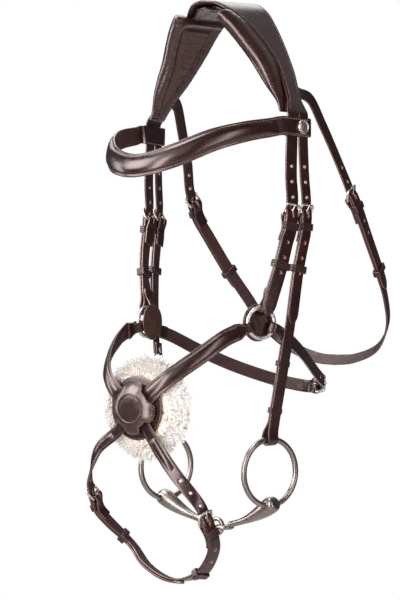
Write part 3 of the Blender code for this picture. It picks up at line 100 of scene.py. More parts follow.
# %% Floor, world and lamps
FLOOR, FLOOR_SIZE = -1.25, 30.0          # the bridle hangs well above the floor
FLOOR_PAINT = (0.30, 0.295, 0.29, 1)     # what the lamps find there
ROOM_COLOUR, ROOM_LEVEL = (1.0, 0.985, 0.97, 1), 0.06
WHITE = (1, 1, 1, 1)


def shader_of(material):
    return material.node_tree.nodes["Principled BSDF"]


REFLECTED_SHARE = 0.03   # of the white room, in polished things


def seen_share(nodes, links):
    """All of the white room for the camera and clear things, and a part of it for gloss."""
    path = nodes.new("ShaderNodeLightPath")
    direct = nodes.new("ShaderNodeMath")
    direct.operation = "MAXIMUM"
    links.new(path.outputs["Is Camera Ray"], direct.inputs[0])
    links.new(path.outputs["Is Transmission Ray"], direct.inputs[1])
    share = nodes.new("ShaderNodeMath")
    share.operation = "MULTIPLY_ADD"
    links.new(path.outputs["Is Glossy Ray"], share.inputs[0])
    share.inputs[1].default_value = REFLECTED_SHARE
    links.new(direct.outputs[0], share.inputs[2])
    return share.outputs[0]


def pale_material(name):
    """White to the camera and to polished things, and plain pale paint to every lamp."""
    made = bpy.data.materials.new(name)
    made.use_nodes = True
    nodes, links = made.node_tree.nodes, made.node_tree.links
    paint = shader_of(made)
    paint.inputs["Base Color"].default_value = FLOOR_PAINT
    paint.inputs["Roughness"].default_value = 0.9
    glow = nodes.new("ShaderNodeEmission")
    glow.inputs["Color"].default_value = WHITE
    mix = nodes.new("ShaderNodeMixShader")
    links.new(seen_share(nodes, links), mix.inputs[0])
    links.new(paint.outputs[0], mix.inputs[1])
    links.new(glow.outputs[0], mix.inputs[2])
    links.new(mix.outputs[0], nodes["Material Output"].inputs["Surface"])
    return made


floor_mesh = bpy.data.meshes.new("floor")
half = FLOOR_SIZE / 2
floor_mesh.from_pydata([(-half, -half, FLOOR), (half, -half, FLOOR), (half, half, FLOOR),
                        (-half, half, FLOOR)], [], [(0, 1, 2, 3)])
floor = bpy.data.objects.new("floor", floor_mesh)
floor.data.materials.append(pale_material("pale_floor"))
bpy.context.scene.collection.objects.link(floor)

world = bpy.data.worlds.new("studio")
world.use_nodes = True
bpy.context.scene.world = world
nodes, links = world.node_tree.nodes, world.node_tree.links
room = nodes["Background"]
room.inputs["Color"].default_value = ROOM_COLOUR
room.inputs["Strength"].default_value = ROOM_LEVEL
white = nodes.new("ShaderNodeBackground")
white.inputs["Color"].default_value = WHITE
mix = nodes.new("ShaderNodeMixShader")
links.new(seen_share(nodes, links), mix.inputs[0])
links.new(room.outputs[0], mix.inputs[1])
links.new(white.outputs[0], mix.inputs[2])
links.new(mix.outputs[0], nodes["World Output"].inputs["Surface"])

MIDDLE = Vector((0.0, -0.03, -0.28))


def lamp(name, azimuth, elevation, distance, size, power, mirrored=True, felt=True):
    """A soft lamp that looks at the middle of the bridle. It is mirrored in the gloss, or felt
    by the matt surfaces, or both."""
    made = bpy.data.lights.new(name, "AREA")
    made.shape = "RECTANGLE"
    made.size, made.size_y = size
    made.energy = power
    thing = bpy.data.objects.new(name, made)
    a, e = math.radians(azimuth), math.radians(elevation)
    away = Vector((math.sin(a) * math.cos(e), -math.cos(a) * math.cos(e), math.sin(e)))
    thing.location = MIDDLE + away * distance
    thing.rotation_euler = (-away).to_track_quat("-Z", "Y").to_euler()
    thing.visible_glossy = mirrored
    thing.visible_diffuse = felt
    bpy.context.scene.collection.objects.link(thing)


# Azimuth and elevation in degrees, distance, size, watts. The first ones draw the straps' long
# highlights, the sheens lay a broad soft gloss, and the bounces light the wool.
lamp("key", -33, 26, 1.9, (1.20, 1.10), 38, felt=False)
lamp("front_strip", 7, 0, 1.25, (0.34, 1.30), 13, felt=False)
lamp("side_strip", -68, 6, 1.6, (0.26, 1.1), 7, felt=False)
lamp("top", -50, 72, 1.8, (1.0, 0.8), 24, felt=False)
lamp("fill", 82, 10, 2.0, (0.3, 1.4), 9)
lamp("rim", 225, 45, 1.9, (1.5, 1.1), 12)
lamp("crown_sheen", 165, 44, 2.0, (1.2, 1.0), 0.9, felt=False)
lamp("front_sheen", 20, 30, 2.2, (1.8, 1.5), 8, felt=False)
lamp("back", 200, 8, 2.4, (1.8, 1.6), 150, mirrored=False)
lamp("front_bounce", 22, 2, 2.4, (2.2, 2.0), 172, mirrored=False)
lamp("side_bounce", 100, 0, 2.4, (2.2, 2.0), 54, mirrored=False)
print("lamps", sum(thing.type == "LIGHT" for thing in bpy.data.objects))

# %% [markdown]
# ## Leather, steel and fleece
# Bridle leather is dyed through, waxed and polished, so it is nearly black in shade and takes
# sharp highlights. Its grain side has fine pores, its flesh side is matt, and its cut edges are
# burnished a little lighter; their colour is lightened further as a painted highlight, and the
# headpiece's flesh side is darkened as painted shade. Each finish is one function with its own
# colour and gloss, built from noise at the true size of pores and wax streaks, so that no strap
# is a flat colour.


# %% Finishes
# How fine each pattern is, in cells to the metre
MOTTLE, WAX, RIPPLE, PLY, DULL_PATCH, PILE, CRIMP = 55.0, 140.0, 300.0, 2600.0, 90.0, 160.0, 1300.0


def noise_node(tree, coordinates, scale, detail=4.0, roughness=0.55, distortion=0.0):
    made = tree.nodes.new("ShaderNodeTexNoise")
    made.inputs["Scale"].default_value = scale
    made.inputs["Detail"].default_value = detail
    made.inputs["Roughness"].default_value = roughness
    made.inputs["Distortion"].default_value = distortion
    tree.links.new(coordinates, made.inputs["Vector"])
    return made.outputs["Fac"]


def ramp(tree, value, stops):
    made = tree.nodes.new("ShaderNodeValToRGB")
    elements = made.color_ramp.elements
    while len(elements) < len(stops):
        elements.new(0.5)
    for element, (place, colour) in zip(elements, stops):
        element.position = place
        element.color = (*colour, 1.0)
    tree.links.new(value, made.inputs["Fac"])
    return made.outputs["Color"]


def spread(tree, value, low, high, first=0.3, last=0.7):
    """Maps a value to a range, for roughness and the like. A noise lies from 0.3 to 0.7."""
    made = tree.nodes.new("ShaderNodeMapRange")
    made.inputs["From Min"].default_value = first
    made.inputs["From Max"].default_value = last
    made.inputs["To Min"].default_value = low
    made.inputs["To Max"].default_value = high
    tree.links.new(value, made.inputs["Value"])
    return made.outputs["Result"]


def bump(tree, height, distance, strength=1.0, under=None):
    made = tree.nodes.new("ShaderNodeBump")
    made.inputs["Distance"].default_value = distance
    made.inputs["Strength"].default_value = strength
    tree.links.new(height, made.inputs["Height"])
    if under:
        tree.links.new(under, made.inputs["Normal"])
    return made.outputs["Normal"]


def new_finish(name):
    made = bpy.data.materials.new(name)
    made.use_nodes = True
    tree = made.node_tree
    return made, tree, tree.nodes.new("ShaderNodeTexCoord").outputs["Object"]


def finish_with(made, inputs):
    """Sets a shader's sockets: a number or a colour as it is, and a node's output by a link."""
    shader = shader_of(made)
    for name, value in inputs.items():
        if isinstance(value, bpy.types.NodeSocket):
            made.node_tree.links.new(value, shader.inputs[name])
        else:
            shader.inputs[name].default_value = value
    return made


SHEEN_TINT = (1.0, 0.80, 0.78, 1.0)      # the dye shows through the wax, so its gloss is warm


def leather(name, dark, light, gloss, grain=0.00012, pores=1500.0, coat=0.12):
    """Waxed leather: mottled dye, fine pores, and gloss that wanders with the wax."""
    made, tree, place = new_finish(name)
    cells = tree.nodes.new("ShaderNodeTexVoronoi")
    cells.inputs["Scale"].default_value = pores
    tree.links.new(place, cells.inputs["Vector"])
    soft = bump(tree, noise_node(tree, place, RIPPLE, 3.0), grain * 2, 0.4)
    return finish_with(made, {
        "Base Color": ramp(tree, noise_node(tree, place, MOTTLE, 6.0, 0.6, 0.4),
                           ((0.30, dark), (0.72, light))),
        "Roughness": spread(tree, noise_node(tree, place, WAX, 3.0), *gloss),
        "Normal": bump(tree, cells.outputs["Distance"], grain, 0.6, soft),
        "Specular IOR Level": 0.85,
        "Specular Tint": SHEEN_TINT,
        "Coat Weight": coat,
        "Coat Roughness": 0.18})


STRAP_FACE = leather("strap_leather", (0.0046, 0.0010, 0.0009), (0.0115, 0.0032, 0.0029),
                     (0.24, 0.30), 0.00004)
STRAP_BACK = leather("strap_flesh_side", (0.0085, 0.0024, 0.0022), (0.0185, 0.0058, 0.0050),
                     (0.48, 0.66), 0.0002, 900.0, 0.0)
# The headpiece's flesh side is darkened nearly to the face's colour: painted shade under the
# sheet.
SHADED_SHEET_BACK = leather("sheet_flesh_side_painted_shade", (0.0046, 0.0013, 0.0011), (0.0100, 0.0032, 0.0028),
                     (0.45, 0.60), 0.0001, 900.0, 0.0)
# The cut edges' own burnished colour, lightened further as a painted highlight along each edge.
STRAP_EDGE_WITH_HIGHLIGHT = leather("strap_edge_painted_highlight", (0.030, 0.0105, 0.0085), (0.075, 0.031, 0.025),
                     (0.24, 0.32), 0.00002, 2200.0, 0.5)
HOLE_EDGE = leather("hole_edge", (0.15, 0.055, 0.032), (0.26, 0.110, 0.066), (0.45, 0.6), 0.0002,
                    2000.0, 0.0)
PAD_LEATHER = leather("pad_leather", (0.0080, 0.0025, 0.0023), (0.0190, 0.0070, 0.0064),
                      (0.24, 0.34), 0.00008, 800.0, 0.3)
LINING = leather("lining_leather", (0.0150, 0.0050, 0.0040), (0.0330, 0.0125, 0.0100),
                 (0.38, 0.54), 0.0002, 620.0, 0.0)


THREAD_COLOURS = ((0.35, (0.075, 0.037, 0.029)), (0.70, (0.24, 0.145, 0.115)))


def thread(name):
    """Waxed linen thread: two plies twisted together, a shade lighter than the leather."""
    made, tree, place = new_finish(name)
    ply = noise_node(tree, place, PLY, 2.0)
    return finish_with(made, {
        "Base Color": ramp(tree, ply, THREAD_COLOURS),
        "Roughness": 0.45,
        "Normal": bump(tree, ply, 0.0002, 0.7)})


THREAD = thread("waxed_thread")


def steel(name, colour, rough, streaks):
    """Stainless steel, with faint scratches that run in every direction and duller patches."""
    made, tree, place = new_finish(name)
    dull = noise_node(tree, place, DULL_PATCH, 5.0)
    low = tuple(c * 0.82 for c in colour)
    return finish_with(made, {
        "Metallic": 1.0,
        "Base Color": ramp(tree, dull, ((0.30, low), (0.65, colour))),
        "Roughness": spread(tree, dull, *rough),
        "Normal": bump(tree, noise_node(tree, place, streaks, 2.0, 0.5, 1.5), 0.000004, 0.3)})


POLISHED = steel("polished_steel", (0.80, 0.73, 0.70), (0.26, 0.38), 900.0)
SATIN = steel("satin_steel", (0.40, 0.335, 0.315), (0.27, 0.36), 700.0)

WOOL = ((0.25, (0.94, 0.83, 0.72)), (0.45, (0.98, 0.90, 0.82)), (0.70, (0.985, 0.93, 0.87)))
# Painted shade on the wool: a darker, warmer tint close to the nose pad, fading out towards the
# rim.
PAD_SHADE_TINT = ((0.0, (0.92, 0.70, 0.42)), (0.55, (0.98, 0.91, 0.80)), (1.0, (1.0, 1.0, 1.0)))
PAD_SHADE_FROM, PAD_SHADE_TO = 0.026, 0.050        # metres from the fleece's heart


def fleece_finish(name, heart):
    """Cream wool, with painted shade: darker and warmer near its heart, next to the pad, and paler
    towards the rim.
    """
    made, tree, place = new_finish(name)
    wool = ramp(tree, noise_node(tree, place, PILE, 5.0, 0.6), WOOL)
    away = tree.nodes.new("ShaderNodeVectorMath")
    away.operation = "DISTANCE"
    tree.links.new(place, away.inputs[0])
    away.inputs[1].default_value = heart
    pad_shade = ramp(tree, spread(tree, away.outputs["Value"], 0, 1, PAD_SHADE_FROM, PAD_SHADE_TO), PAD_SHADE_TINT)
    shaded_wool = tree.nodes.new("ShaderNodeMixRGB")
    shaded_wool.blend_type = "MULTIPLY"
    shaded_wool.inputs[0].default_value = 1.0
    tree.links.new(wool, shaded_wool.inputs[1])
    tree.links.new(pad_shade, shaded_wool.inputs[2])
    return finish_with(made, {
        "Base Color": shaded_wool.outputs[0],
        "Roughness": 0.9,
        "Specular IOR Level": 0.15,
        "Sheen Weight": 0.3,
        "Sheen Roughness": 0.5,
        "Sheen Tint": (1.0, 0.93, 0.84, 1.0),
        "Subsurface Weight": 1.0,
        "Subsurface Radius": (1.0, 0.85, 0.65),
        "Subsurface Scale": 0.018,
        "Normal": bump(tree, noise_node(tree, place, CRIMP, 3.0), 0.0004, 0.5)})


print("finishes", len(bpy.data.materials))

# %% [markdown]
# ## Routes
# Every strap is a band on a route: a smooth line through a few chosen points, with the way that
# the strap faces at each. The points are shares of three sizes of the head, as in the solids, so
# a strap and its buckle, keeper and holes stay together. Where a buckle lies the line is
# straight, because a real strap is stiff there: its end is doubled and stitched.

# %% Sizes shared with the solids, in metres
SPAN, REACH, DROP = 0.100, 0.165, 0.490
LEATHER, GAP = 0.0024, 0.0003
STACK = LEATHER + GAP
NOSEBAND_WIDTH, CHEEK_WIDTH, LOWER_WIDTH = 0.016, 0.013, 0.013
THROAT_WIDTH, JAW_WIDTH = 0.014, 0.014
UPPER_WIDTH, BROW_WIDTH, BROW_FRONT_WIDTH, RING_LOOP_WIDTH = 0.018, 0.020, 0.026, 0.011
WIRE, FRAME_LENGTH, FRAME_CORNER, FRAME_SIDE_GAP = 0.0013, 0.012, 0.0032, 0.0006
TONGUE, TONGUE_EYE_GAP, TONGUE_TIP, SLOT_GAP = 0.0009, 0.00025, 0.0018, 0.0005
FOLD_RADIUS = WIRE + GAP + LEATHER / 2
EYE_PATH = WIRE + TONGUE_EYE_GAP + TONGUE
FRAME_TOP = LEATHER / 2 + GAP + WIRE
SLOT_HALF = TONGUE + SLOT_GAP
SLOT_REACH = EYE_PATH + SLOT_HALF
FOLD_RETURN, FOLD_EASE = 0.028, 0.012
KEEPER, KEEPER_GAP, KEEPER_LENGTH, FIXED_KEEPER_AT = 0.0011, 0.0004, 0.0075, 0.0108
HOLE, HOLE_PITCH = 0.0015, 0.0161
RING_RADIUS, RING_WIRE, RING_LEAD, RING_RETURN = 0.0158, 0.0022, 0.008, 0.020
BIT_RING_RADIUS, BIT_RING_WIRE, RING_CLEAR = 0.035, 0.0030, 0.0014
RING_FOLD = RING_WIRE + RING_CLEAR + LEATHER / 2
BIT_FOLD = BIT_RING_WIRE + RING_CLEAR + LEATHER / 2
BROW_DROP, BROW_RETURN, CROWN_WIDTH, BILLET_START = 0.128, 0.014, 0.080, 0.112
CHEEK_RETURN, BUCKLE_CLEAR = 0.100, 0.00088
FRAME_REACH = FRAME_SIDE_GAP + 2 * WIRE
BUCKLE_PITCH = (NOSEBAND_WIDTH + CHEEK_WIDTH) / 2 + 2 * FRAME_REACH + BUCKLE_CLEAR
RING_YAW = {"near": math.radians(22), "far": math.radians(5)}
JAW_LEAN = {"near": math.radians(32), "far": math.radians(12)}
BIT_YAW = {"near": math.radians(13.5), "far": math.radians(-11)}
CHEEK_ANGLE, FRONT_ANGLE, JAW_ANGLE = (math.radians(a) for a in (73, 197, -22))

# %% Route points: place shares, then the way that the strap faces
NOSEBAND_SHARES = (
    (0.965, -0.121, -0.229, 0.99, -0.15, 0), (0.970, -0.133, -0.290, 0.99, -0.15, 0),
    (0.973, -0.142, -0.367, 0.99, -0.15, 0), (0.970, -0.146, -0.452, 0.98, -0.17, 0),
    (0.950, -0.182, -0.506, 0.98, -0.20, 0.05), (0.915, -0.221, -0.563, 0.97, -0.25, 0.1))
# Behind the noseband's strap: each second value is a share of the distance between the two buckles
CHEEK_SHARES = (
    (0.988, 0.6894, -0.229, 0.99, -0.15, 0), (0.993, 0.7803, -0.290, 0.99, -0.15, 0),
    (1.000, 0.9167, -0.367, 0.99, -0.15, 0), (1.003, 1.0, -0.452, 0.99, -0.15, 0),
    (0.993, 1.1061, -0.506, 0.98, -0.15, 0.05), (0.970, 1.1212, -0.565, 0.98, -0.18, 0.1))
CHEEK_LOW_SHARES = (
    (0.915, -0.112, -0.694, 0.97, -0.20, 0.12), (0.830, -0.139, -0.816, 0.96, -0.25, 0.1))
CHEEK_BAR = 3
UPPER_SHARES = (
    (0.710, -0.606, -0.710, 0.90, -0.42, 0.1), (0.600, -0.776, -0.747, 0.75, -0.65, 0.15),
    (0.420, -0.932, -0.790, 0.40, -0.90, 0.1), (0.250, -0.979, -0.820, 0.05, -1, 0),
    (0.120, -0.979, -0.843, 0, -1, 0))
CHIN_SHARES = (
    (0.110, -0.979, -0.880, 0, -1, 0), (0.210, -0.979, -0.908, 0.05, -1, 0),
    (0.480, -0.952, -0.982, 0.50, -0.85, 0), (0.780, -0.842, -1.090, 1, -0.20, -0.1),
    (0.755, -0.768, -1.147, 0.90, -0.2, -0.45), (0.550, -0.715, -1.194, 0.55, -0.25, -0.8),
    (0.280, -0.691, -1.218, 0.20, -0.2, -1), (0.000, -0.667, -1.218, -0.1, -0.2, -1),
    (-0.280, -0.655, -1.194, -0.4, -0.2, -0.9), (-0.520, -0.618, -1.157, -0.7, -0.2, -0.7),
    (-0.690, -0.739, -1.104, -0.95, -0.1, -0.35), (-0.740, -0.842, -1.051, -1, -0.3, 0),
    (-0.500, -0.972, -0.947, -0.4, -0.90, 0), (-0.210, -0.979, -0.904, -0.05, -1, 0),
    (-0.110, -0.979, -0.880, 0, -1, 0))
CHIN_NEAR_BAR, CHIN_FAR_BAR = 3, 11
JAW_SHARES = (
    (0.830, -0.115, -0.706, 0.99, 0, 0), (0.785, 0.012, -0.720, 0.98, 0.12, 0),
    (0.700, 0.206, -0.747, 0.95, 0.3, 0), (0.530, 0.521, -0.798, 0.85, 0.5, -0.1),
    (0.310, 0.709, -0.822, 0.52, 0.83, -0.1), (0.015, 0.758, -0.826, -0.05, 0.98, -0.1),
    (-0.270, 0.688, -0.813, -0.5, 0.85, -0.1), (-0.540, 0.461, -0.782, -0.85, 0.5, -0.1),
    (-0.700, 0.194, -0.745, -0.96, 0.25, 0), (-0.790, -0.048, -0.710, -0.99, 0.05, 0))
JAW_BAR = 6
THROAT_SHARES = (
    (0.905, 0.110, -0.194, 0.97, 0, 0.2), (0.962, 0.200, -0.247, 1, 0.05, 0.12),
    (1.025, 0.303, -0.316, 1, 0.1, 0.08), (1.100, 0.430, -0.408, 1, 0.1, 0),
    (1.080, 0.594, -0.486, 0.98, 0.18, 0), (1.030, 0.782, -0.565, 0.95, 0.28, -0.05),
    (0.970, 0.921, -0.622, 0.90, 0.38, -0.12), (0.860, 1.048, -0.686, 0.8, 0.5, -0.3),
    (0.600, 1.152, -0.741, 0.6, 0.65, -0.45), (0.250, 1.176, -0.767, 0.25, 0.75, -0.6),
    (0.000, 1.179, -0.771, 0, 0.8, -0.6))
THROAT_BAR = 4
BROW_SHARES = (
    (0.920, -0.303, -0.266, 0.97, -0.2, 0.02), (0.840, -0.503, -0.278, 0.93, -0.35, 0.05),
    (0.670, -0.703, -0.298, 0.75, -0.62, 0.1), (0.450, -0.867, -0.327, 0.5, -0.82, 0.2),
    (0.220, -0.939, -0.344, 0.2, -0.93, 0.28), (0.000, -0.961, -0.350, 0, -0.95, 0.3))
CROWN_SHARES = (
    (0.00, 0.10, -0.61, 0.39, 0.035), (0.15, 0.08, -0.57, 0.38, 0.035),
    (0.28, 0.01, -0.47, 0.35, 0.03), (0.41, -0.12, -0.31, 0.32, 0.01),
    (0.53, -0.27, -0.19, 0.29, 0), (0.64, -0.41, -0.12, 0.24, 0), (0.74, -0.54, -0.14, 0.18, 0),
    (0.82, -0.65, -0.19, 0.11, 0), (0.90, -0.77, -0.25, 0.05, 0))


# %% A route that can be asked for its place and directions at any distance
def ease(share):
    share = min(1.0, max(0.0, share))
    return share * share * (3 - 2 * share)


def knots(shares, side=1):
    made = []
    for x, y, z, face_x, face_y, face_z in shares:
        place = Vector((side * SPAN * x, REACH * y, DROP * z))
        made.append((place, Vector((side * face_x, face_y, face_z)).normalized()))
    return made


def cheek_knots(side):
    """The bit cheekpiece's points: its upper ones keep their place behind the noseband's strap."""
    made = []
    ahead = knots(NOSEBAND_SHARES)
    for (place, face), shares, (front, _) in zip(knots(CHEEK_SHARES, side), CHEEK_SHARES, ahead):
        made.append((Vector((place.x, front.y + BUCKLE_PITCH * shares[1], place.z)), face))
    return made + knots(CHEEK_LOW_SHARES, side)


def blend(points, position):
    """A smooth line through points, read at a position counted in points."""
    first = min(int(position), len(points) - 2)
    a, b = points[first], points[first + 1]
    before = points[first - 1] if first > 0 else 2 * a - b
    after = points[first + 2] if first + 2 < len(points) else 2 * b - a
    line = [before, a, b, after]
    times = [0.0]
    for start, end in zip(line, line[1:]):
        times.append(times[-1] + math.sqrt((end - start).length))
    now = times[1] + (times[2] - times[1]) * (position - first)
    for reach in (1, 2, 3):
        for i in range(4 - reach):
            start, end = (times[1], times[2]) if reach == 3 else (times[i], times[i + reach])
            line[i] = line[i] + (line[i + 1] - line[i]) * ((now - start) / (end - start))
    return line[0]


class Frame:
    """A place on a route: along it, across the strap, and outward from its face."""

    def __init__(self, origin, along, outward):
        self.origin = origin
        self.along = along.normalized()
        self.across = outward.cross(self.along).normalized()
        self.outward = self.along.cross(self.across).normalized()

    def place(self, along=0.0, across=0.0, outward=0.0):
        return self.origin + self.along * along + self.across * across + self.outward * outward


STEPS = 28               # samples between two knots


class Route:
    def __init__(self, route_knots, bars=()):
        places = [place for place, face in route_knots]
        faces = [face for place, face in route_knots]
        count = (len(places) - 1) * STEPS
        self.line, self.faces = [], []
        for i in range(count + 1):
            position = i / STEPS
            first = min(int(position), len(places) - 2)
            share = position - first
            if any(abs(position - bar) < 1 for bar in bars):
                self.line.append(places[first].lerp(places[first + 1], share))
            else:
                self.line.append(blend(places, position))
            self.faces.append(faces[first].lerp(faces[first + 1], ease(share)))
        self.walked = [0.0]
        for a, b in zip(self.line, self.line[1:]):
            self.walked.append(self.walked[-1] + (b - a).length)
        self.length = self.walked[-1]
        self.marks = self.walked[::STEPS]

    def frame(self, distance):
        i = min(max(bisect_right(self.walked, distance) - 1, 0), len(self.line) - 2)
        share = (distance - self.walked[i]) / (self.walked[i + 1] - self.walked[i])
        place = self.line[i].lerp(self.line[i + 1], share)
        ahead = self.line[min(i + 3, len(self.line) - 1)]
        behind = self.line[max(i - 2, 0)]
        return Frame(place, ahead - behind, self.faces[i].lerp(self.faces[i + 1], share))

    def nearest(self, point):
        """The distance at which the route passes closest to a point."""
        i = min(range(len(self.line)), key=lambda k: (self.line[k] - point).length)
        best = max(i - 1, 0)
        run = self.line[min(best + 2, len(self.line) - 1)] - self.line[best]
        share = (point - self.line[best]).dot(run) / run.length_squared
        return self.walked[best] + share * run.length


FLAT_SHARE = 1.35


def flattened(route_knots, index):
    """Makes a route straight for the length of the buckle whose bar is at one of its points."""
    place, face = route_knots[index]
    ahead = route_knots[index + 1][0] - place
    behind = place - route_knots[index - 1][0]
    along = (ahead / ahead.length ** 2 + behind / behind.length ** 2).normalized()
    above = (place - along * FRAME_LENGTH * FLAT_SHARE, face)
    below = (place + along * FRAME_LENGTH * FLAT_SHARE, face)
    return route_knots[:index] + [above, (place, face), below] + route_knots[index + 1:]


def ring_directions(yaw, side):
    """A ring's outward normal and its level direction to the rear."""
    normal = Vector((side * math.cos(yaw), -math.sin(yaw), 0.0))
    return normal, Vector((side * math.sin(yaw), math.cos(yaw), 0.0))


def ring_knots(centre, normal, rear, angle, radius, fold_radius, lean=0.0):
    """The last two points of a strap that loops a ring, outermost first."""
    away = rear * math.cos(angle) + UP * math.sin(angle)
    face = normal * math.cos(lean) + away * math.sin(lean)
    leave = away * math.cos(lean) - normal * math.sin(lean)
    near_end = centre + away * radius + face * fold_radius
    return [(near_end + leave * RING_LEAD, face), (near_end, face)]


def ring_centre(label):
    return Vector((SIDES[label] * SPAN * 0.78, REACH * -0.30, DROP * -0.679))


def bit_centre(label):
    return Vector((SIDES[label] * SPAN * 0.71, REACH * -0.152, -DROP))


ROUTES = {}
for label, side in SIDES.items():
    normal, rear = ring_directions(RING_YAW[label], side)
    ends = ring_knots(ring_centre(label), normal, rear, CHEEK_ANGLE, RING_RADIUS, RING_FOLD)
    line = flattened(knots(NOSEBAND_SHARES, side), CHEEK_BAR)
    ROUTES["noseband_" + label] = Route(line + ends, (CHEEK_BAR + 1,))
    ends = ring_knots(ring_centre(label), normal, rear, FRONT_ANGLE, RING_RADIUS, RING_FOLD)
    ROUTES["upper_" + label] = Route(ends[::-1] + knots(UPPER_SHARES, side))
    normal, rear = ring_directions(BIT_YAW[label], side)
    ends = ring_knots(bit_centre(label), normal, rear, math.pi / 2, BIT_RING_RADIUS, BIT_FOLD)
    line = flattened(cheek_knots(side), CHEEK_BAR)
    ROUTES["bit_" + label] = Route(line + ends, (CHEEK_BAR + 1,))
line = flattened(flattened(knots(CHIN_SHARES), CHIN_FAR_BAR), CHIN_NEAR_BAR)
ROUTES["chin"] = Route(line, (CHIN_NEAR_BAR + 1, CHIN_FAR_BAR + 3))
ends = {}
for label, side in SIDES.items():
    normal, rear = ring_directions(RING_YAW[label], side)
    ends[label] = ring_knots(ring_centre(label), normal, rear, JAW_ANGLE, RING_RADIUS, RING_FOLD,
                             JAW_LEAN[label])
line = ends["near"][::-1] + knots(JAW_SHARES) + ends["far"]
ROUTES["jaw"] = Route(flattened(line, JAW_BAR), (JAW_BAR + 1,))
for name, route in ROUTES.items():
    print("route", name, round(route.length * 1000), "mm")

# %% [markdown]
# ## Straps
# A strap is cut from one hide, skived thinner at its edges, and its edges are rounded, dyed and
# polished. It is modelled as rows of points across its middle, thickened by a Solidify modifier
# that gives the flesh side and the cut edge their own finishes, with a small bevel to catch the
# light. Holes are punched after that by one Boolean, so their walls show undyed leather.

# %% Rows, folds and tips
Row = namedtuple("Row", "centre across outward half pad")
ROW_STEP = 0.0028


def flat(width):
    return lambda d: width


def row_at(there, half, level=0.0, pad=0.0, face=1):
    """A row of a strap at a place on its route; face -1 is the side turned back."""
    return Row(there.place(outward=level), there.across, there.outward * face, half, pad)


def band(route, start, end, width, level=flat(0.0), pad=flat(0.0), step=ROW_STEP):
    """Rows of a strap from start to end, evenly spaced."""
    count = max(2, round(abs(end - start) / step))
    return [row_at(route.frame(d), width(d) / 2, level(d), pad(d))
            for d in (start + (end - start) * i / count for i in range(count + 1))]


FOLD_STEPS = 10


def half_turn(here, sign, radius, half):
    """Rows that carry a strap round a bar, from its folded side to its face."""
    rows = []
    for i in range(1, FOLD_STEPS):
        turn = math.pi * (1 - i / FOLD_STEPS)
        centre = here.place(-sign * radius * math.sin(turn), 0.0, radius * math.cos(turn) - radius)
        face = here.along * (-sign * math.sin(turn)) + here.outward * math.cos(turn)
        rows.append(Row(centre, here.across, face, half, 0.0))
    return rows


def fold(route, at, sign, radius, reach, width, settled=None):
    """Rows of the end turned back round a bar or ring: its tip first, then over the bar."""
    settled = settled or min(FOLD_EASE, reach)
    count = max(6, round(reach / ROW_STEP))
    rows = []
    for i in range(count + 1):
        length = reach * (1 - i / count)
        distance = at + sign * length
        back = STACK + (2 * radius - STACK) * (1 - ease(length / settled))
        rows.append(row_at(route.frame(distance), width(distance) / 2, -back, face=-1))
    return rows + half_turn(route.frame(at), sign, radius, width(at) / 2)


# How far before the tip, and how wide there, both as shares of the strap's width
TIP_SHARES = ((0.80, 0.99), (0.62, 0.94), (0.46, 0.85), (0.32, 0.72), (0.20, 0.56), (0.10, 0.39),
              (0.04, 0.25), (0.0, 0.10))


def tip(route, end, width, level, sign=1):
    """Rows of a billet's point, from its shoulder out: nearly round, a little pointed."""
    rows = []
    for back, share in TIP_SHARES:
        distance = end - sign * width * back
        rows.append(row_at(route.frame(distance), width * share / 2, level(distance)))
    return rows


def billet_level(bar, sign=1):
    """A billet lies flat above its buckle and one layer out once it has passed the bar."""
    return lambda d: STACK * ease(1 + sign * (d - bar) / FRAME_LENGTH)


def ring_width(width, ring_end, sign):
    """Strap width that narrows into its loop; sign 1 when the ring is at the route's start."""
    def at(d):
        inside = (d - ring_end) * sign
        share = ease((inside - RING_LEAD * 0.6) / (RING_LEAD * 1.5))
        return RING_LOOP_WIDTH + (width - RING_LOOP_WIDTH) * share
    return at


# %% Points and faces
COLLECTION = bpy.context.scene.collection


def circle(centre, first, second, radius, count, squash=1.0):
    """Points round a centre, in the plane of two directions."""
    turns = [2 * math.pi * k / count for k in range(count)]
    return [centre + first * (radius * math.cos(turn))
            + second * (radius * squash * math.sin(turn)) for turn in turns]


def bridge(shape, a, b, closed=True, kinds=None):
    """Faces between two rings or rows of points; kinds gives the finish of each."""
    for k in range(len(a) if closed else len(a) - 1):
        j = (k + 1) % len(a)
        face = shape.faces.new((a[k], a[j], b[j], b[k]))
        if kinds:
            face.material_index = kinds[k]


def fan(shape, ring, place):
    """Closes a ring with triangles to one point."""
    point = shape.verts.new(place)
    for k in range(len(ring)):
        shape.faces.new((ring[k - 1], ring[k], point))
    return point


def skin(shape, rings, closed=False):
    """Faces over a stack of rings, with a flat cap at each end unless the stack is closed."""
    for a, b in zip(rings, rings[1:] + (rings[:1] if closed else [])):
        bridge(shape, a, b)
    if not closed:
        shape.faces.new(rings[0][::-1])
        shape.faces.new(rings[-1])


def new_object(name, mesh, *finishes):
    thing = bpy.data.objects.new(name, mesh)
    COLLECTION.objects.link(thing)
    for finish in finishes:
        mesh.materials.append(finish)
    return thing


def mesh_from(name, shape, smooth=True, facing=None):
    """A mesh whose faces look outward; those of an open sheet look the way that one point does."""
    bmesh.ops.recalc_face_normals(shape, faces=shape.faces)
    if facing and facing[0].link_faces[0].normal.dot(facing[1]) < 0:
        bmesh.ops.reverse_faces(shape, faces=shape.faces)
    mesh = bpy.data.meshes.new(name)
    shape.to_mesh(mesh)
    shape.free()
    for face in mesh.polygons:
        face.use_smooth = smooth
    return mesh


def settle(thing):
    """Applies every modifier, so that the piece is a plain mesh."""
    graph = bpy.context.evaluated_depsgraph_get()
    mesh = bpy.data.meshes.new_from_object(thing.evaluated_get(graph))
    mesh.name = thing.name
    thing.modifiers.clear()
    thing.data = mesh
    return thing


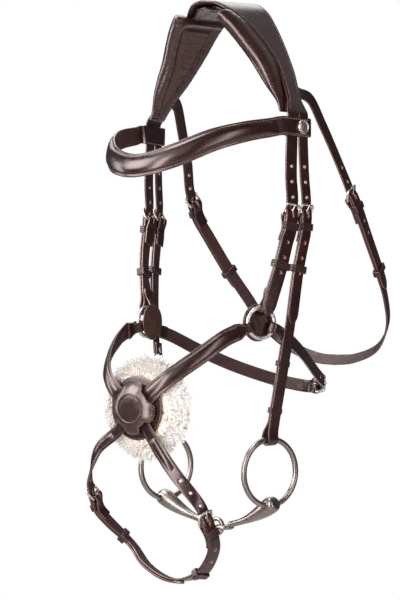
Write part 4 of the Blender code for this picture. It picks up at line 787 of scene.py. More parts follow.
# %% From rows to leather
COLUMN_SHARES = (-1.0, -0.9, -0.6, -0.2, 0.2, 0.6, 0.9, 1.0)
SKIVE_SHARES = (0.72, 0.92, 1.0, 1.0, 1.0, 1.0, 0.92, 0.72)
EDGE_ROUNDING = 0.0005


def leathered(name, shape, skived, facing, finishes=(STRAP_FACE, STRAP_BACK, STRAP_EDGE_WITH_HIGHLIGHT),
              edge=EDGE_ROUNDING):
    """Thickens a sheet into leather: face, flesh side and rounded, dyed edge, whose colour is
    lightened further as a painted highlight.
    """
    shape.verts.index_update()
    numbers = [(vert.index, share) for vert, share in skived.items()]
    thing = new_object(name, mesh_from(name, shape, facing=facing), *finishes)
    group = thing.vertex_groups.new(name="skiving")
    for number, share in numbers:
        group.add([number], share, "REPLACE")
    solid = thing.modifiers.new("hide", "SOLIDIFY")
    solid.thickness = LEATHER
    solid.offset = 0.0
    solid.vertex_group = group.name
    solid.material_offset = 1
    solid.material_offset_rim = 2
    solid.use_even_offset = True
    rounding = thing.modifiers.new("edges", "BEVEL")
    rounding.width = edge
    rounding.segments = 2
    rounding.limit_method = "ANGLE"
    rounding.angle_limit = math.radians(50)
    rounding.harden_normals = False
    return thing


def strap(name, rows):
    shape = bmesh.new()
    skived, made = {}, []
    for row in rows:
        line = [shape.verts.new(row.centre + row.across * (row.half * share))
                for share in COLUMN_SHARES]
        skived.update(zip(line, SKIVE_SHARES))
        made.append(line)
    for first, second in zip(made, made[1:]):
        bridge(shape, first, second, closed=False)
    return leathered(name, shape, skived, (made[-2][3], rows[-2].outward))


# %% Punching
PUNCH_SIDES, PUNCH_RIM = 20, 0.0006      # a punch spreads a little at both faces


def combine(thing, tool, operation):
    """Cuts another piece out of a piece, or joins it on; a cut takes the tool's finish."""
    change = thing.modifiers.new(operation.lower(), "BOOLEAN")
    change.operation = operation
    change.solver = "EXACT"
    change.material_mode = "TRANSFER"
    change.object = tool
    settle(thing)
    bpy.data.objects.remove(tool, do_unlink=True)


def punch(thing, cuts):
    """Cuts round holes and long slots. Each cut: frame, half length, radius, lowest, highest."""
    shape = bmesh.new()
    for there, half_length, radius, low, high in cuts:
        rings = []
        for height, grow in ((low - PUNCH_RIM, 2 * PUNCH_RIM), (low + PUNCH_RIM * 0.6, 0.0),
                             (high - PUNCH_RIM * 0.6, 0.0), (high + PUNCH_RIM, 2 * PUNCH_RIM)):
            rings.append([])
            for i in range(PUNCH_SIDES):
                turn = 2 * math.pi * (i + 0.5) / PUNCH_SIDES
                x, y = (radius + grow) * math.cos(turn), (radius + grow) * math.sin(turn)
                x += math.copysign(half_length, x)
                rings[-1].append(shape.verts.new(there.place(x, y, height)))
        skin(shape, rings)
    name = thing.name + "_punch"
    combine(thing, new_object(name, mesh_from(name, shape, False), HOLE_EDGE), "DIFFERENCE")
    return thing


def tongue_slope():
    rise = FRAME_TOP + WIRE + GAP + TONGUE + FOLD_RADIUS
    return math.atan2(rise, FRAME_LENGTH) - math.asin(EYE_PATH / math.hypot(rise, FRAME_LENGTH))


TONGUE_LIFT = math.radians(30)


def tongue_slot(bar, sign=1):
    """The stretch of billet that the tongue passes through, from rest to its full lift."""
    def height(slope, reach):
        return EYE_PATH / math.cos(slope) + reach * math.tan(slope) - FOLD_RADIUS

    slope = tongue_slope()
    face = LEATHER / 2 + TONGUE / math.cos(slope) + SLOT_GAP
    above = 0.0
    while height(slope, above) < billet_level(0.0)(-above) + face:
        above += GAP
    lifted = slope + TONGUE_LIFT
    back = STACK - LEATHER / 2 - height(lifted, 0.0)
    below = back / math.tan(lifted) - TONGUE / math.sin(lifted) - SLOT_GAP
    return sorted((bar - sign * above, bar - sign * min(below, -SLOT_GAP)))


def billet_cuts(route, bar, before, after, sign=1):
    """Round holes either side of the one in use, and the slot of the one in use."""
    level = billet_level(bar, sign)
    used = bar - sign * FRAME_LENGTH / 3
    cuts = []
    for k in range(-before, after + 1):
        if k:
            at = used + sign * HOLE_PITCH * k
            there = route.frame(at)
            there.origin = there.place(outward=level(at))
            cuts.append((there, 0.0, HOLE, -LEATHER / 2, LEATHER / 2))
    first, last = tongue_slot(bar, sign)
    middle = (first + last) / 2
    there = route.frame(middle)
    there.origin = there.place(outward=level(middle))
    cuts.append((there, (last - first) / 2 - SLOT_HALF, SLOT_HALF, -LEATHER, LEATHER))
    return cuts


def own_cut(route, bar, sign=1):
    """The slot over the fold of the strap that carries the buckle."""
    there = route.frame(bar)
    start, end = -FOLD_RADIUS - LEATHER, SLOT_REACH
    there.origin = there.place(sign * (start + end) / 2, outward=-FOLD_RADIUS)
    return (there, (end - start) / 2 - SLOT_HALF, SLOT_HALF, -FOLD_RADIUS - LEATHER,
            FOLD_RADIUS + LEATHER)


# %% [markdown]
# ## Stitching
# Saddlers sew with waxed thread, about eight stitches to the inch, in a groove a little way in
# from the edge. Each stitch is a short, fat, slightly sunk rod, set at a small angle as an awl
# leaves it. All stitches of one strap are one mesh, built straight from the strap's own rows.

# %% Stitches
STITCH_PITCH, STITCH_LENGTH, STITCH_RADIUS, STITCH_IN = 0.0027, 0.0021, 0.00030, 0.0022
STITCH_SLANT = math.radians(7)
# One stitch: place along it, thickness, and height over the leather
STITCH_FORM = ((-0.5, 0.35, -0.9), (-0.36, 0.95, 0.15), (0.0, 1.1, 0.45), (0.36, 0.95, 0.15),
               (0.5, 0.35, -0.9))


def walk(points, pitch):
    """Even steps along a line of (place, outward): yields place, direction and outward."""
    left = pitch / 2
    for (a, face_a), (b, face_b) in zip(points, points[1:]):
        run = (b - a).length
        while run > 0 and left <= run:
            share = left / run
            yield a.lerp(b, share), (b - a).normalized(), face_a.lerp(face_b, share).normalized()
            left += pitch
        left -= run


def stitches(name, lines, slant=STITCH_SLANT):
    shape = bmesh.new()
    count = 0
    for line in lines:
        for place, along, outward in walk(line, STITCH_PITCH):
            across = outward.cross(along).normalized()
            lean = along * math.cos(slant) + across * math.sin(slant)
            wide = outward.cross(lean).normalized()
            rings = []
            for share, fat, lift in STITCH_FORM:
                middle = place + lean * (STITCH_LENGTH * share) + outward * (STITCH_RADIUS * lift)
                rings.append([shape.verts.new(point) for point in
                              circle(middle, wide, outward, STITCH_RADIUS * fat, 6, 0.8)])
            skin(shape, rings)
            count += 1
    thing = new_object(name, mesh_from(name, shape), THREAD)
    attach(thing, "bridle")
    print(name, count, "stitches")


def seam(rows, inset):
    """A line of (place, outward) on rows, inset from one edge (negative: from the other)."""
    line = []
    for row in rows:
        reach = math.copysign(max(row.half - abs(inset), 0.0), inset)
        line.append((row.centre + row.across * reach + row.outward * (LEATHER * 0.48),
                     row.outward))
    return line


def both_seams(rows):
    return [seam(rows, STITCH_IN), seam(rows, -STITCH_IN)]


print("strap helpers ready")

# %% [markdown]
# ## Buckles, tongues and keepers
# The buckles are drawn steel wire: a frame with round corners whose bar lies in the fold of the
# strap, and a tongue whose end wraps the bar. Both are tubes swept along a line of points. The
# keepers are narrow leather loops with three creases pressed in by a hot iron; one is sewn below
# each buckle and one slides. A loop is a band profile carried round a rounded rectangle.

# %% Tubes and buckles
def tube(name, points, radii, finish, closed=False, sides=14, up=None):
    """Sweeps a circle through points. Up holds the circle's seam to one side."""
    shape = bmesh.new()
    rings = []
    count = len(points)
    normal = None
    for i, point in enumerate(points):
        if closed:
            along = (points[(i + 1) % count] - points[i - 1]).normalized()
        else:
            along = (points[min(i + 1, count - 1)] - points[max(i - 1, 0)]).normalized()
        normal = up or normal or along.orthogonal()
        normal = (normal - along * normal.dot(along)).normalized()
        rings.append([shape.verts.new(place) for place in
                      circle(point, along.cross(normal), normal, radii[i], sides)])
    skin(shape, rings, closed)
    return new_object(name, mesh_from(name, shape), finish)


def hoop(name, centre, normal, radius, wire, finish, around=120):
    """A ring of round wire."""
    first = normal.orthogonal().normalized()
    points = circle(centre, first, normal.cross(first), radius, around)
    return tube(name, points, [wire] * around, finish, True, 20, up=normal)


def own(piece, *nodes, slot="leather", body="bridle"):
    """Says what a piece rides on and which solids it stands for. The slot is not used."""
    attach(piece, body)
    if nodes:
        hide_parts(*nodes)
    return piece


def corner_path(length, half, corner, steps=9):
    """A rounded rectangle from the bar (x = 0) to x = length, as (x, y) points."""
    points = []
    for end, side, quarter in ((length, 1, 0), (length, -1, 270), (0.0, -1, 180), (0.0, 1, 90)):
        x0 = end - corner if end else corner
        y0 = side * (half - corner)
        for step in range(steps + 1):
            turn = math.radians(quarter + 90 - 90 * step / steps)
            points.append((x0 + corner * math.cos(turn), y0 + corner * math.sin(turn)))
    return points


TONGUE_WRAP, TONGUE_TAPER = math.radians(275), 0.28


def buckle(label, route, bar, width, sign=1):
    """The wire frame rides on the strap; the tongue rides on its own hinge."""
    here = route.frame(bar)
    back = here.along * -sign
    side = here.outward.cross(back)
    origin = here.place(outward=-FOLD_RADIUS)
    rise = FRAME_TOP + FOLD_RADIUS
    length = math.hypot(FRAME_LENGTH, rise)
    tilt = math.atan2(rise, FRAME_LENGTH)
    half = width / 2 + FRAME_SIDE_GAP + WIRE

    def put(x, y, z):
        return origin + back * x + side * y + here.outward * z

    points = [put(x * math.cos(tilt), y, x * math.sin(tilt))
              for x, y in corner_path(length, half, FRAME_CORNER)]
    made = tube(label + "_wire_frame", points, [WIRE] * len(points), POLISHED, True,
                up=here.outward)
    own(made, label + "_buckle", slot="steel")

    slope = tongue_slope()
    line, radii = [], []
    for i in range(25):
        turn = slope + math.pi / 2 + TONGUE_WRAP * (1 - i / 24)
        line.append(put(EYE_PATH * math.cos(turn), 0.0, EYE_PATH * math.sin(turn)))
        radii.append(TONGUE * min(1.0, 0.6 + i / 6))
    start = (EYE_PATH * math.cos(slope + math.pi / 2), EYE_PATH * math.sin(slope + math.pi / 2))
    reach = length + TONGUE_TIP
    for i in range(1, 17):
        share = i / 16
        line.append(put(start[0] + reach * share * math.cos(slope), 0.0,
                        start[1] + reach * share * math.sin(slope)))
        radii.append(TONGUE * (1.0 - TONGUE_TAPER * share) * (0.55 if i == 16 else 1.0))
    pin = tube(label + "_pin", line, radii, POLISHED, sides=12, up=side)
    own(pin, label + "_tongue", slot="steel", body=label + "_tongue")


# %% Keepers
def loop_path(half, low, high, corner, steps=5):
    points = []
    for sy, sz, quarter in ((1, 1, 0), (-1, 1, 90), (-1, -1, 180), (1, -1, 270)):
        y0 = sy * (half - corner)
        z0 = (high - corner) if sz > 0 else (low + corner)
        for step in range(steps + 1):
            turn = math.radians(quarter + 90 * step / steps)
            points.append((y0, z0, math.cos(turn), math.sin(turn)))
    return points


CREASES = (-0.30, 0.0, 0.30)
CREASE_DEPTH, CREASE_HALF, KEEPER_CORNER = 0.00028, 0.00045, 0.0002


def keeper_profile(length):
    """A keeper's section along the strap, as (place, share of its thickness)."""
    half, deep = length / 2, 1.0 - CREASE_DEPTH / KEEPER
    profile = [(-half, 0.12), (-half, 0.62), (-half + KEEPER * 0.25, 0.92)]
    for crease in CREASES:
        at = crease * length
        profile += [(at - CREASE_HALF, 1.0), (at - CREASE_HALF * 0.3, deep),
                    (at + CREASE_HALF * 0.3, deep), (at + CREASE_HALF, 1.0)]
    return profile + [(half - KEEPER * 0.25, 0.92), (half, 0.62), (half, 0.12),
                      (half - KEEPER * 0.2, 0.0), (-half + KEEPER * 0.2, 0.0)]


def keeper(name, there, width, low, high, length, body="bridle", gap=KEEPER_GAP):
    """A creased band round a stack of straps, from one level to another."""
    profile = keeper_profile(length)
    shape = bmesh.new()
    rings = []
    for y0, z0, cy, cz in loop_path(width / 2 + gap, low - gap, high + gap, KEEPER_CORNER):
        grown = [(x, KEEPER_CORNER + KEEPER * share) for x, share in profile]
        rings.append([shape.verts.new(there.place(x, y0 + cy * grow, z0 + cz * grow))
                      for x, grow in grown])
    kinds = [0] * len(profile)
    kinds[0] = kinds[1] = kinds[-4] = kinds[-3] = 1
    for a, b in zip(rings, rings[1:] + rings[:1]):
        bridge(shape, a, b, kinds=kinds)
    return own(new_object(name, mesh_from(name, shape), STRAP_FACE, STRAP_EDGE_WITH_HIGHLIGHT), body=body)


SLIDING_GAP = 0.0010     # enough to pass along straps that bend a little
SLIDES = {joint["child"]: Vector(joint["axis"]) for joint in frame["joints"]
          if joint["name"].endswith("_slide")}


def sliding_keeper(name, route, width):
    """Sits where its solid sits, found on the route, and square to the line that it slides on."""
    low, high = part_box(name)
    there = route.frame(route.nearest((low + high) / 2))
    axis = SLIDES[name]
    there = Frame(there.origin, axis if axis.dot(there.along) > 0 else -axis, there.outward)
    made = keeper(name + "_loop", there, width, -LEATHER / 2, STACK + LEATHER / 2, KEEPER_LENGTH,
                  name, SLIDING_GAP)
    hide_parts(name)


def sewn_keeper(name, route, at, width, length=KEEPER_LENGTH, face=1):
    there = route.frame(at)
    inside = face * LEATHER * 0.2
    low, high = sorted((inside, face * (STACK + LEATHER / 2)))
    return keeper(name, there, width, low, high, length)


# %% [markdown]
# ## The two sides of the head
# On each side two straps hang from the headpiece's billets: the noseband's own cheek strap, which
# ends in the small ring of the figure eight, and the bit cheekpiece behind it. Each starts with
# a fold round a buckle bar, stitched down below it. A padded strap then runs from the small ring
# to the nose pad. Its centre is a strip of felt under thin leather, between two rows of stitches.

# %% Cheek straps
def fold_seams(route, bar, sign, width, reach=FOLD_RETURN):
    """Two short rows of stitches through the doubled leather below a buckle."""
    start, end = SLOT_REACH + 0.002, reach - 0.0012
    return both_seams([row_at(route.frame(bar + sign * (start + (end - start) * i / 8)), width / 2)
                       for i in range(9)])


RING_SEAM_CLEAR = 0.006  # stitches stop this far from a ring's fold


def build_noseband_cheek(label):
    route = ROUTES["noseband_" + label]
    bar = route.marks[CHEEK_BAR + 1]
    width = ring_width(NOSEBAND_WIDTH, route.length, -1)
    rows = fold(route, bar, 1, FOLD_RADIUS, FOLD_RETURN, flat(NOSEBAND_WIDTH))
    rows += band(route, bar, route.length, width)
    rows += reversed(fold(route, route.length, -1, RING_FOLD, RING_RETURN, width))
    name = "noseband_cheek_" + label
    own(punch(strap(name + "_strap", rows), [own_cut(route, bar)]), name)
    sewn_keeper(name + "_sewn_keeper", route, bar + FIXED_KEEPER_AT, NOSEBAND_WIDTH)
    ring_rows = band(route, route.length - RING_RETURN + 0.002, route.length - RING_SEAM_CLEAR,
                     width)
    lines = fold_seams(route, bar, 1, NOSEBAND_WIDTH) + both_seams(ring_rows)
    stitches(name + "_stitching", lines)
    buckle("noseband_" + label, route, bar, NOSEBAND_WIDTH)
    sliding_keeper("noseband_keeper_" + label, route, NOSEBAND_WIDTH)


INNER_KEEPERS, INNER_KEEPER_LENGTH = (0.30, 0.80), 0.006     # along the long return of the fold


def build_bit_cheek(label):
    route = ROUTES["bit_" + label]
    bar = route.marks[CHEEK_BAR + 1]
    width = flat(CHEEK_WIDTH)
    rows = fold(route, bar, 1, FOLD_RADIUS, FOLD_RETURN, width)
    rows += band(route, bar, route.length, width)
    rows += reversed(fold(route, route.length, -1, BIT_FOLD, CHEEK_RETURN, width,
                          settled=0.2 * CHEEK_RETURN))
    name = "bit_cheekpiece_" + label
    own(punch(strap(name + "_strap", rows), [own_cut(route, bar)]), name)
    sewn_keeper(name + "_sewn_keeper", route, bar + FIXED_KEEPER_AT, CHEEK_WIDTH)
    for number, share in enumerate(INNER_KEEPERS, 1):
        sewn_keeper("%s_inner_keeper_%d" % (name, number), route,
                    route.length - CHEEK_RETURN * share, CHEEK_WIDTH, INNER_KEEPER_LENGTH, -1)
    stitches(name + "_stitching", fold_seams(route, bar, 1, CHEEK_WIDTH))
    buckle("bit_" + label, route, bar, CHEEK_WIDTH)
    sliding_keeper("bit_keeper_" + label, route, CHEEK_WIDTH)


LOOSE_RINGS = (
    ("noseband", ring_centre, RING_YAW, RING_RADIUS, RING_WIRE, POLISHED, 120),
    ("bit", bit_centre, BIT_YAW, BIT_RING_RADIUS, BIT_RING_WIRE, SATIN, 160))
for label, side in SIDES.items():
    build_noseband_cheek(label)
    build_bit_cheek(label)
    for kind, centre, yaw, radius, wire, finish, around in LOOSE_RINGS:
        made = hoop("%s_%s_steel_ring" % (kind, label), centre(label),
                    ring_directions(yaw[label], side)[0], radius, wire, finish, around)
        own(made, kind + "_ring_" + label, slot="steel", body=kind + "_ring_" + label)

# %% [markdown]
# ## Padded straps
# A padded strap is lofted, because its section changes shape along its length: flat edges with a
# row of stitches in each, and a rounded centre that starts and stops in a short slope. The
# section is written as a list of shares across and heights, so one table gives every row.

# %% Padded sections
PADDED_RISE = 0.0030
PADDED_EDGE = 0.0030     # flat, stitched margin either side of the padding


def padded_section(row, fullness=0.62):
    """Points (across, outward, finish) of a flat-backed strap with a raised centre. Fullness 1
    gives half an ellipse, and less gives a flatter top."""
    t, w = LEATHER / 2, row.half
    right = [(w - 0.0002, t * 0.35, 2), (w - 0.0009, t * 0.86, 0), (w - STITCH_IN + 0.0006, t, 0),
             (w - STITCH_IN, t * 0.86, 0), (w - STITCH_IN - 0.0006, t, 0)]
    middle = []
    for k in range(13):
        turn = math.pi * k / 12
        rise = math.sin(turn) ** fullness if 0 < k < 12 else 0.0
        middle.append(((w - PADDED_EDGE) * math.cos(turn), t + row.pad * rise, 0))
    left = [(-x, y, finish) for x, y, finish in reversed(right)]
    below = [(-w + 0.0002, -t * 0.35, 2), (-w + 0.0009, -t * 0.86, 1), (-w * 0.4, -t, 1),
             (w * 0.4, -t, 1), (w - 0.0009, -t * 0.86, 1), (w - 0.0002, -t * 0.35, 2)]
    return right + middle + left + below


def raised_section(row):
    """Points of a low roll that lies on the face of a flat strap, between its seams."""
    inner, base = row.half - PADDED_EDGE, LEATHER / 2 - 0.0004
    turns = [math.pi * k / 10 for k in range(1, 10)]
    arch = [(inner * math.cos(turn), base + row.pad * math.sin(turn) ** 0.7, 0) for turn in turns]
    return [(inner, base, 0)] + arch + [(-inner, base, 0), (0.0, base - 0.0003, 0)]


def loft(name, rows, section, finishes):
    shape = bmesh.new()
    kinds = [kind for x, y, kind in section(rows[0])]
    made = [[shape.verts.new(row.centre + row.across * x + row.outward * y)
             for x, y, kind in section(row)] for row in rows]
    for first, second in zip(made, made[1:]):
        bridge(shape, first, second, kinds=kinds)
    for end in (made[0], made[-1]):
        shape.faces.new(end).material_index = min(2, len(finishes) - 1)
    thing = new_object(name, mesh_from(name, shape), *finishes)
    for face in thing.data.polygons:
        if len(face.vertices) > 4:
            face.use_smooth = False
    return thing


PAD_WIDTH, PAD_HEIGHT = 0.064, 0.062
NEARER_PAD = 0.004       # the raised padding runs up to the cover's edge


def build_upper(label):
    route = ROUTES["upper_" + label]
    width = ring_width(UPPER_WIDTH, 0.0, 1)
    pad_end = route.length - PAD_WIDTH * 0.245 + NEARER_PAD

    def padding(d):
        return PADDED_RISE * ease((d - 2 * RING_LEAD) / RING_LEAD) * ease((pad_end - d) / 0.002)

    rows = fold(route, 0.0, 1, RING_FOLD, RING_RETURN, width)
    rows += band(route, 0.0, pad_end - 0.003, width, pad=padding)
    rows += band(route, pad_end - 0.0024, pad_end, width, pad=padding, step=0.0006)
    rows += band(route, pad_end + 0.0012, route.length, width)
    name = "upper_strap_" + label
    own(loft(name + "_padded", rows, padded_section, (STRAP_FACE, STRAP_BACK, STRAP_EDGE_WITH_HIGHLIGHT)), name)
    stitches(name + "_stitching", both_seams(band(route, RING_SEAM_CLEAR, pad_end - 0.001, width)))


for label in SIDES:
    build_upper(label)

# %% [markdown]
# ## The headpiece
# The headpiece is one piece of leather: broad over the poll, where pressure has to be spread,
# and split below each ear into two billets, with the throat strap leaving its rear edge. A single
# sheet is woven from rows of points: the broad part first, then each billet and throat strap
# continues from the sheet's own edge points, so that no joint shows where they part.

# %% Edges of the sheet, from the middle of the poll to the billets
def crown_edges(label):
    side = SIDES[label]
    front, rear = [], []
    for x, z, ahead, behind, dip in CROWN_SHARES:
        place = Vector((side * SPAN * x, 0.0, BROW_DROP * z))
        front.append(place + Vector((0.0, CROWN_WIDTH * ahead, -BROW_DROP * dip)))
        rear.append(place + Vector((0.0, CROWN_WIDTH * behind, 0.0)))
    first, second = ROUTES["noseband_" + label].frame(0.0), ROUTES["bit_" + label].frame(0.0)
    front.append(first.place(across=-side * NOSEBAND_WIDTH / 2))
    rear.append(second.place(across=side * CHEEK_WIDTH / 2))
    return front, rear


EDGES = {label: crown_edges(label) for label in SIDES}
THROAT_ROOT = 0.020
SPLIT = 0.001


def sheet_positions(rear):
    """Where the sheet has rows; some of them are the columns of the throat strap's root."""
    fine = [i / 50 * (len(rear) - 1) for i in range(51)]
    walked = [0.0]
    for a, b in zip(fine[::-1], fine[-2::-1]):
        walked.append(walked[-1] + (blend(rear, a) - blend(rear, b)).length)
    root = []
    for share in COLUMN_SHARES:
        distance = THROAT_ROOT + THROAT_WIDTH * (share + 1) / 2
        i = next(k for k, value in enumerate(walked) if value >= distance)
        part = (distance - walked[i - 1]) / (walked[i] - walked[i - 1])
        root.append(fine[-i] + (fine[-i - 1] - fine[-i]) * part)
    root.sort()
    free = [p for p in fine if p < root[0] - 0.1 or p > root[-1] + 0.1]
    return sorted(free + root), root


for label, side in SIDES.items():
    positions, root = sheet_positions(EDGES[label][1])
    place = blend(EDGES[label][1], (root[0] + root[-1]) / 2)
    face = Vector((side * 0.85, 0.0, 0.5)).normalized()
    line = flattened([(place, face)] + knots(THROAT_SHARES, side), THROAT_BAR)
    ROUTES["throat_" + label] = Route(line, (THROAT_BAR + 1,))

# %% Weave the sheet, its billets and its throat straps
NOSEBAND_TAIL, CHEEK_TAIL, THROAT_TAIL = 0.108, 0.114, 0.122
LEAD = 0.012             # a branch turns from the sheet's edge to its own route over this length


def billet_rows(route, first, bar, tail, width, sign=1):
    level = billet_level(bar, sign)
    end = bar + sign * tail
    rows = band(route, first, end - sign * width, flat(width), level)
    return rows[:-1] + tip(route, end, width, level, sign)


def weave(shape, start, rows, along, skived):
    """Continues a sheet from its own edge points through the rows of a branch."""
    last = start
    origins = [vert.co.copy() for vert in start]
    begin = sum(origins, Vector()) / len(origins)
    flip = (origins[-1] - origins[0]).dot(rows[0].across) < 0
    for row in rows:
        walked = (row.centre - begin).length
        share = ease(walked / LEAD)
        verts = []
        for k, (column, thin) in enumerate(zip(COLUMN_SHARES, SKIVE_SHARES)):
            column = -column if flip else column
            point = row.centre + row.across * (row.half * column)
            if share < 1:
                point = (origins[k] + along * walked).lerp(point, share)
            vert = shape.verts.new(point)
            skived[vert] = thin
            verts.append(vert)
        bridge(shape, last, verts, closed=False)
        last = verts


def build_headpiece():
    shape = bmesh.new()
    skived, grid = {}, {}
    places = [NOSEBAND_WIDTH * (share + 1) / 2 for share in COLUMN_SHARES]
    places += [NOSEBAND_WIDTH + SPLIT + CHEEK_WIDTH * (share + 1) / 2 for share in COLUMN_SHARES]
    total = places[-1]
    for label in SIDES:
        front, rear = EDGES[label]
        positions, root = sheet_positions(rear)
        rows = []
        for number, position in enumerate(positions):
            if number == 0 and label == "far":
                rows.append(grid["near"][0])
                continue
            a, b = blend(front, position), blend(rear, position)
            row = [shape.verts.new(a.lerp(b, place / total)) for place in places]
            for vert in row:
                skived[vert] = 1.0
            skived[row[0]] = skived[row[-1]] = 0.72
            rows.append(row)
        for first, second in zip(rows, rows[1:]):
            bridge(shape, first, second, closed=False)
        grid[label] = rows
        base = [rows[positions.index(p)][-1] for p in root]
        for vert in base[1:-1]:
            skived[vert] = 1.0
        bottom, above = rows[-1], rows[-2]
        down = ((bottom[0].co + bottom[-1].co) - (above[0].co + above[-1].co)).normalized()
        half = len(COLUMN_SHARES)
        branches = (("noseband_", bottom[:half], NOSEBAND_TAIL, NOSEBAND_WIDTH),
                    ("bit_", bottom[half:], CHEEK_TAIL, CHEEK_WIDTH))
        for name, corners, tail, width in branches:
            route = ROUTES[name + label]
            weave(shape, corners, billet_rows(route, ROW_STEP, route.marks[CHEEK_BAR + 1], tail,
                                              width), down, skived)
        route = ROUTES["throat_" + label]
        weave(shape, base, billet_rows(route, ROW_STEP, route.marks[THROAT_BAR + 1], THROAT_TAIL,
                                       THROAT_WIDTH), route.frame(0.0).along, skived)
    made = leathered("headpiece_leather", shape, skived, (grid["near"][0][8], UP),
                     (STRAP_FACE, SHADED_SHEET_BACK, STRAP_EDGE_WITH_HIGHLIGHT))
    cuts = []
    for label in SIDES:
        for name, mark, before, after in (("noseband_", CHEEK_BAR + 1, 3, 4),
                                          ("bit_", CHEEK_BAR + 1, 3, 4),
                                          ("throat_", THROAT_BAR + 1, 2, 3)):
            route = ROUTES[name + label]
            cuts += billet_cuts(route, route.marks[mark], before, after)
    return own(punch(made, cuts), "headpiece")


headpiece = build_headpiece()
print("headpiece", len(headpiece.data.vertices), "points")

# %% The sheet's seams: along its rear edge, along its front edge and once across
SEAM_IN = 0.0035
SEAM_ACROSS_AT, REAR_SEAM_END, FRONT_SEAM_END = 2.0, 7.4, 9.0    # in stations of the edge


def sheet_normal(label, position):
    front, rear = EDGES[label]
    near, far = max(position - 0.1, 0.0), min(position + 0.1, len(front) - 1.0)
    run = blend(front, far) + blend(rear, far) - blend(front, near) - blend(rear, near)
    out = (blend(rear, position) - blend(front, position)).cross(run).normalized()
    return out if out.dot(Vector((SIDES[label], 0.0, 1.0))) > 0 else -out


def sheet_seam(label, from_front, end, count=60):
    front, rear = EDGES[label]
    line = []
    for i in range(count + 1):
        position = end * i / count
        a, b = blend(front, position), blend(rear, position)
        across = (b - a).normalized()
        place = a + across * SEAM_IN if from_front else b - across * SEAM_IN
        outward = sheet_normal(label, position)
        line.append((place + outward * LEATHER * 0.48, outward))
    return line


lines = []
for label in SIDES:
    lines += [sheet_seam(label, False, REAR_SEAM_END), sheet_seam(label, True, FRONT_SEAM_END)]
    front, rear = EDGES[label]
    outward = sheet_normal(label, SEAM_ACROSS_AT)
    a, b = blend(front, SEAM_ACROSS_AT), blend(rear, SEAM_ACROSS_AT)
    lift = outward * LEATHER * 0.48
    lines.append([(a.lerp(b, 0.10) + lift, outward), (a.lerp(b, 0.90) + lift, outward)])
stitches("headpiece_stitching", lines)

# %% [markdown]
# ## Crown pads
# Under the sheet, each side of the poll rests on a pad of foam in soft leather. Its front edge
# is a full roll that stands out beyond the sheet, and behind it a flat, stitched lining lies on
# the neck. The pad is lofted from a section with both, then puckered slightly as soft leather
# does where a roll bends: short wrinkles lie across its length.

# %% Padding under the crown
PAD_THICKNESS, PAD_INSET, PAD_END_SHARE = 0.0085, 0.009, 0.35
ROLL_SHARES = (-0.4, -0.1, 0.72, 0.97, 1.05, 1.0, 0.85, 0.65, 0.35, 0.15)
ROLL_POINTS = [Vector((i, share, 0.0)) for i, share in enumerate(ROLL_SHARES)]
PAD_FORWARD = 0.031
ROLL_FROM = 2.02         # the full roll starts at this station; above it the lining is flat
ROLL_CREST, ROLL_BELLY = 0.0105, 0.0055
ROLL_EASE, PAD_SHORT = 0.14, 0.12      # in stations, like the last two of the next line
PAD_SLIMMER, SLIM_FROM, SLIM_OVER = 0.62, 5.5, 3.4       # the pad thins towards its lower end
RIM_WIDTH, RIM_CORNER = 0.0125, 0.020  # the inner side's stuffed rim, round its lining panel
PAD_ROWS, ROLL_POINTS_ROUND, INNER_POINTS = 150, 22, 30
PAD_FLAT = 0.41 * PAD_THICKNESS        # how high the flat part lies
PIPED_SEAM = 0.0008                    # the roll's seam stands off it by this much
OUTER_WRINKLE, INNER_WRINKLE = 0.00022, 0.00042


def rim_distance(along, across):
    """How far a point of the inner side is from the pad's top and front edges, round a corner."""
    if max(along, across) < RIM_CORNER:
        return RIM_CORNER - math.hypot(RIM_CORNER - along, RIM_CORNER - across)
    return min(along, across)


def inner_depth(reach):
    """The inner side: a stuffed rim, a stitched groove, then a softly filled panel."""
    if reach < RIM_WIDTH:
        return 0.40 + 0.60 * math.sin(math.pi * max(reach, 0.0) / RIM_WIDTH) ** 0.6
    return 0.40 + 0.42 * ease((reach - RIM_WIDTH) / 0.006)


def pad_ring(full, roll, wide, along, slim):
    """Points (across, outward, finish) round the pad, from its front edge over its outer side."""
    puff = max(0.0055, roll + 0.0015) if full > 0.5 else 0.006
    crest = min(ROLL_CREST, 0.0028 + 0.24 * puff) * full * slim + PAD_THICKNESS * 0.25 * (1 - full)
    belly = ROLL_BELLY * (0.35 + 0.65 * full) * slim
    ring = []
    for k in range(1, ROLL_POINTS_ROUND):
        u = -math.cos(math.pi * k / ROLL_POINTS_ROUND)
        x, swell = puff * (u + 1) / 2, (1 - abs(u + 0.12) ** 2.1 / 1.3) ** 0.62
        ring.append((x, crest * swell * min(1.0, (puff - x) / 0.004 + 0.15), 0))
    seam_at = puff + PIPED_SEAM
    ring.append((seam_at, 0.0004, 0))
    for k in range(1, 7):
        ring.append((seam_at + (wide - seam_at) * k / 6, PAD_FLAT * (0.95 if k < 6 else 0.5), 0))
    ring.append((wide + 0.0003, 0.0, 1))
    for k in range(INNER_POINTS, 0, -1):
        x = wide * k / INNER_POINTS
        reach = min(rim_distance(along, x), wide - x + 0.002)
        ring.append((x, -belly * inner_depth(reach), 1 if reach > RIM_WIDTH else 0))
    return ring + [(0.0, 0.0, 0)]


def wrinkled(position, x, y, side):
    """How far soft leather puckers outward at a point of the pad."""
    fold = noise.noise(Vector((position * 26.0, x * 45.0, side * 3.0)))
    fold += 0.7 * noise.noise(Vector((position * 60.0, x * 90.0, 7.0 + side)))
    return fold * (OUTER_WRINKLE if y > 0 else -INNER_WRINKLE)


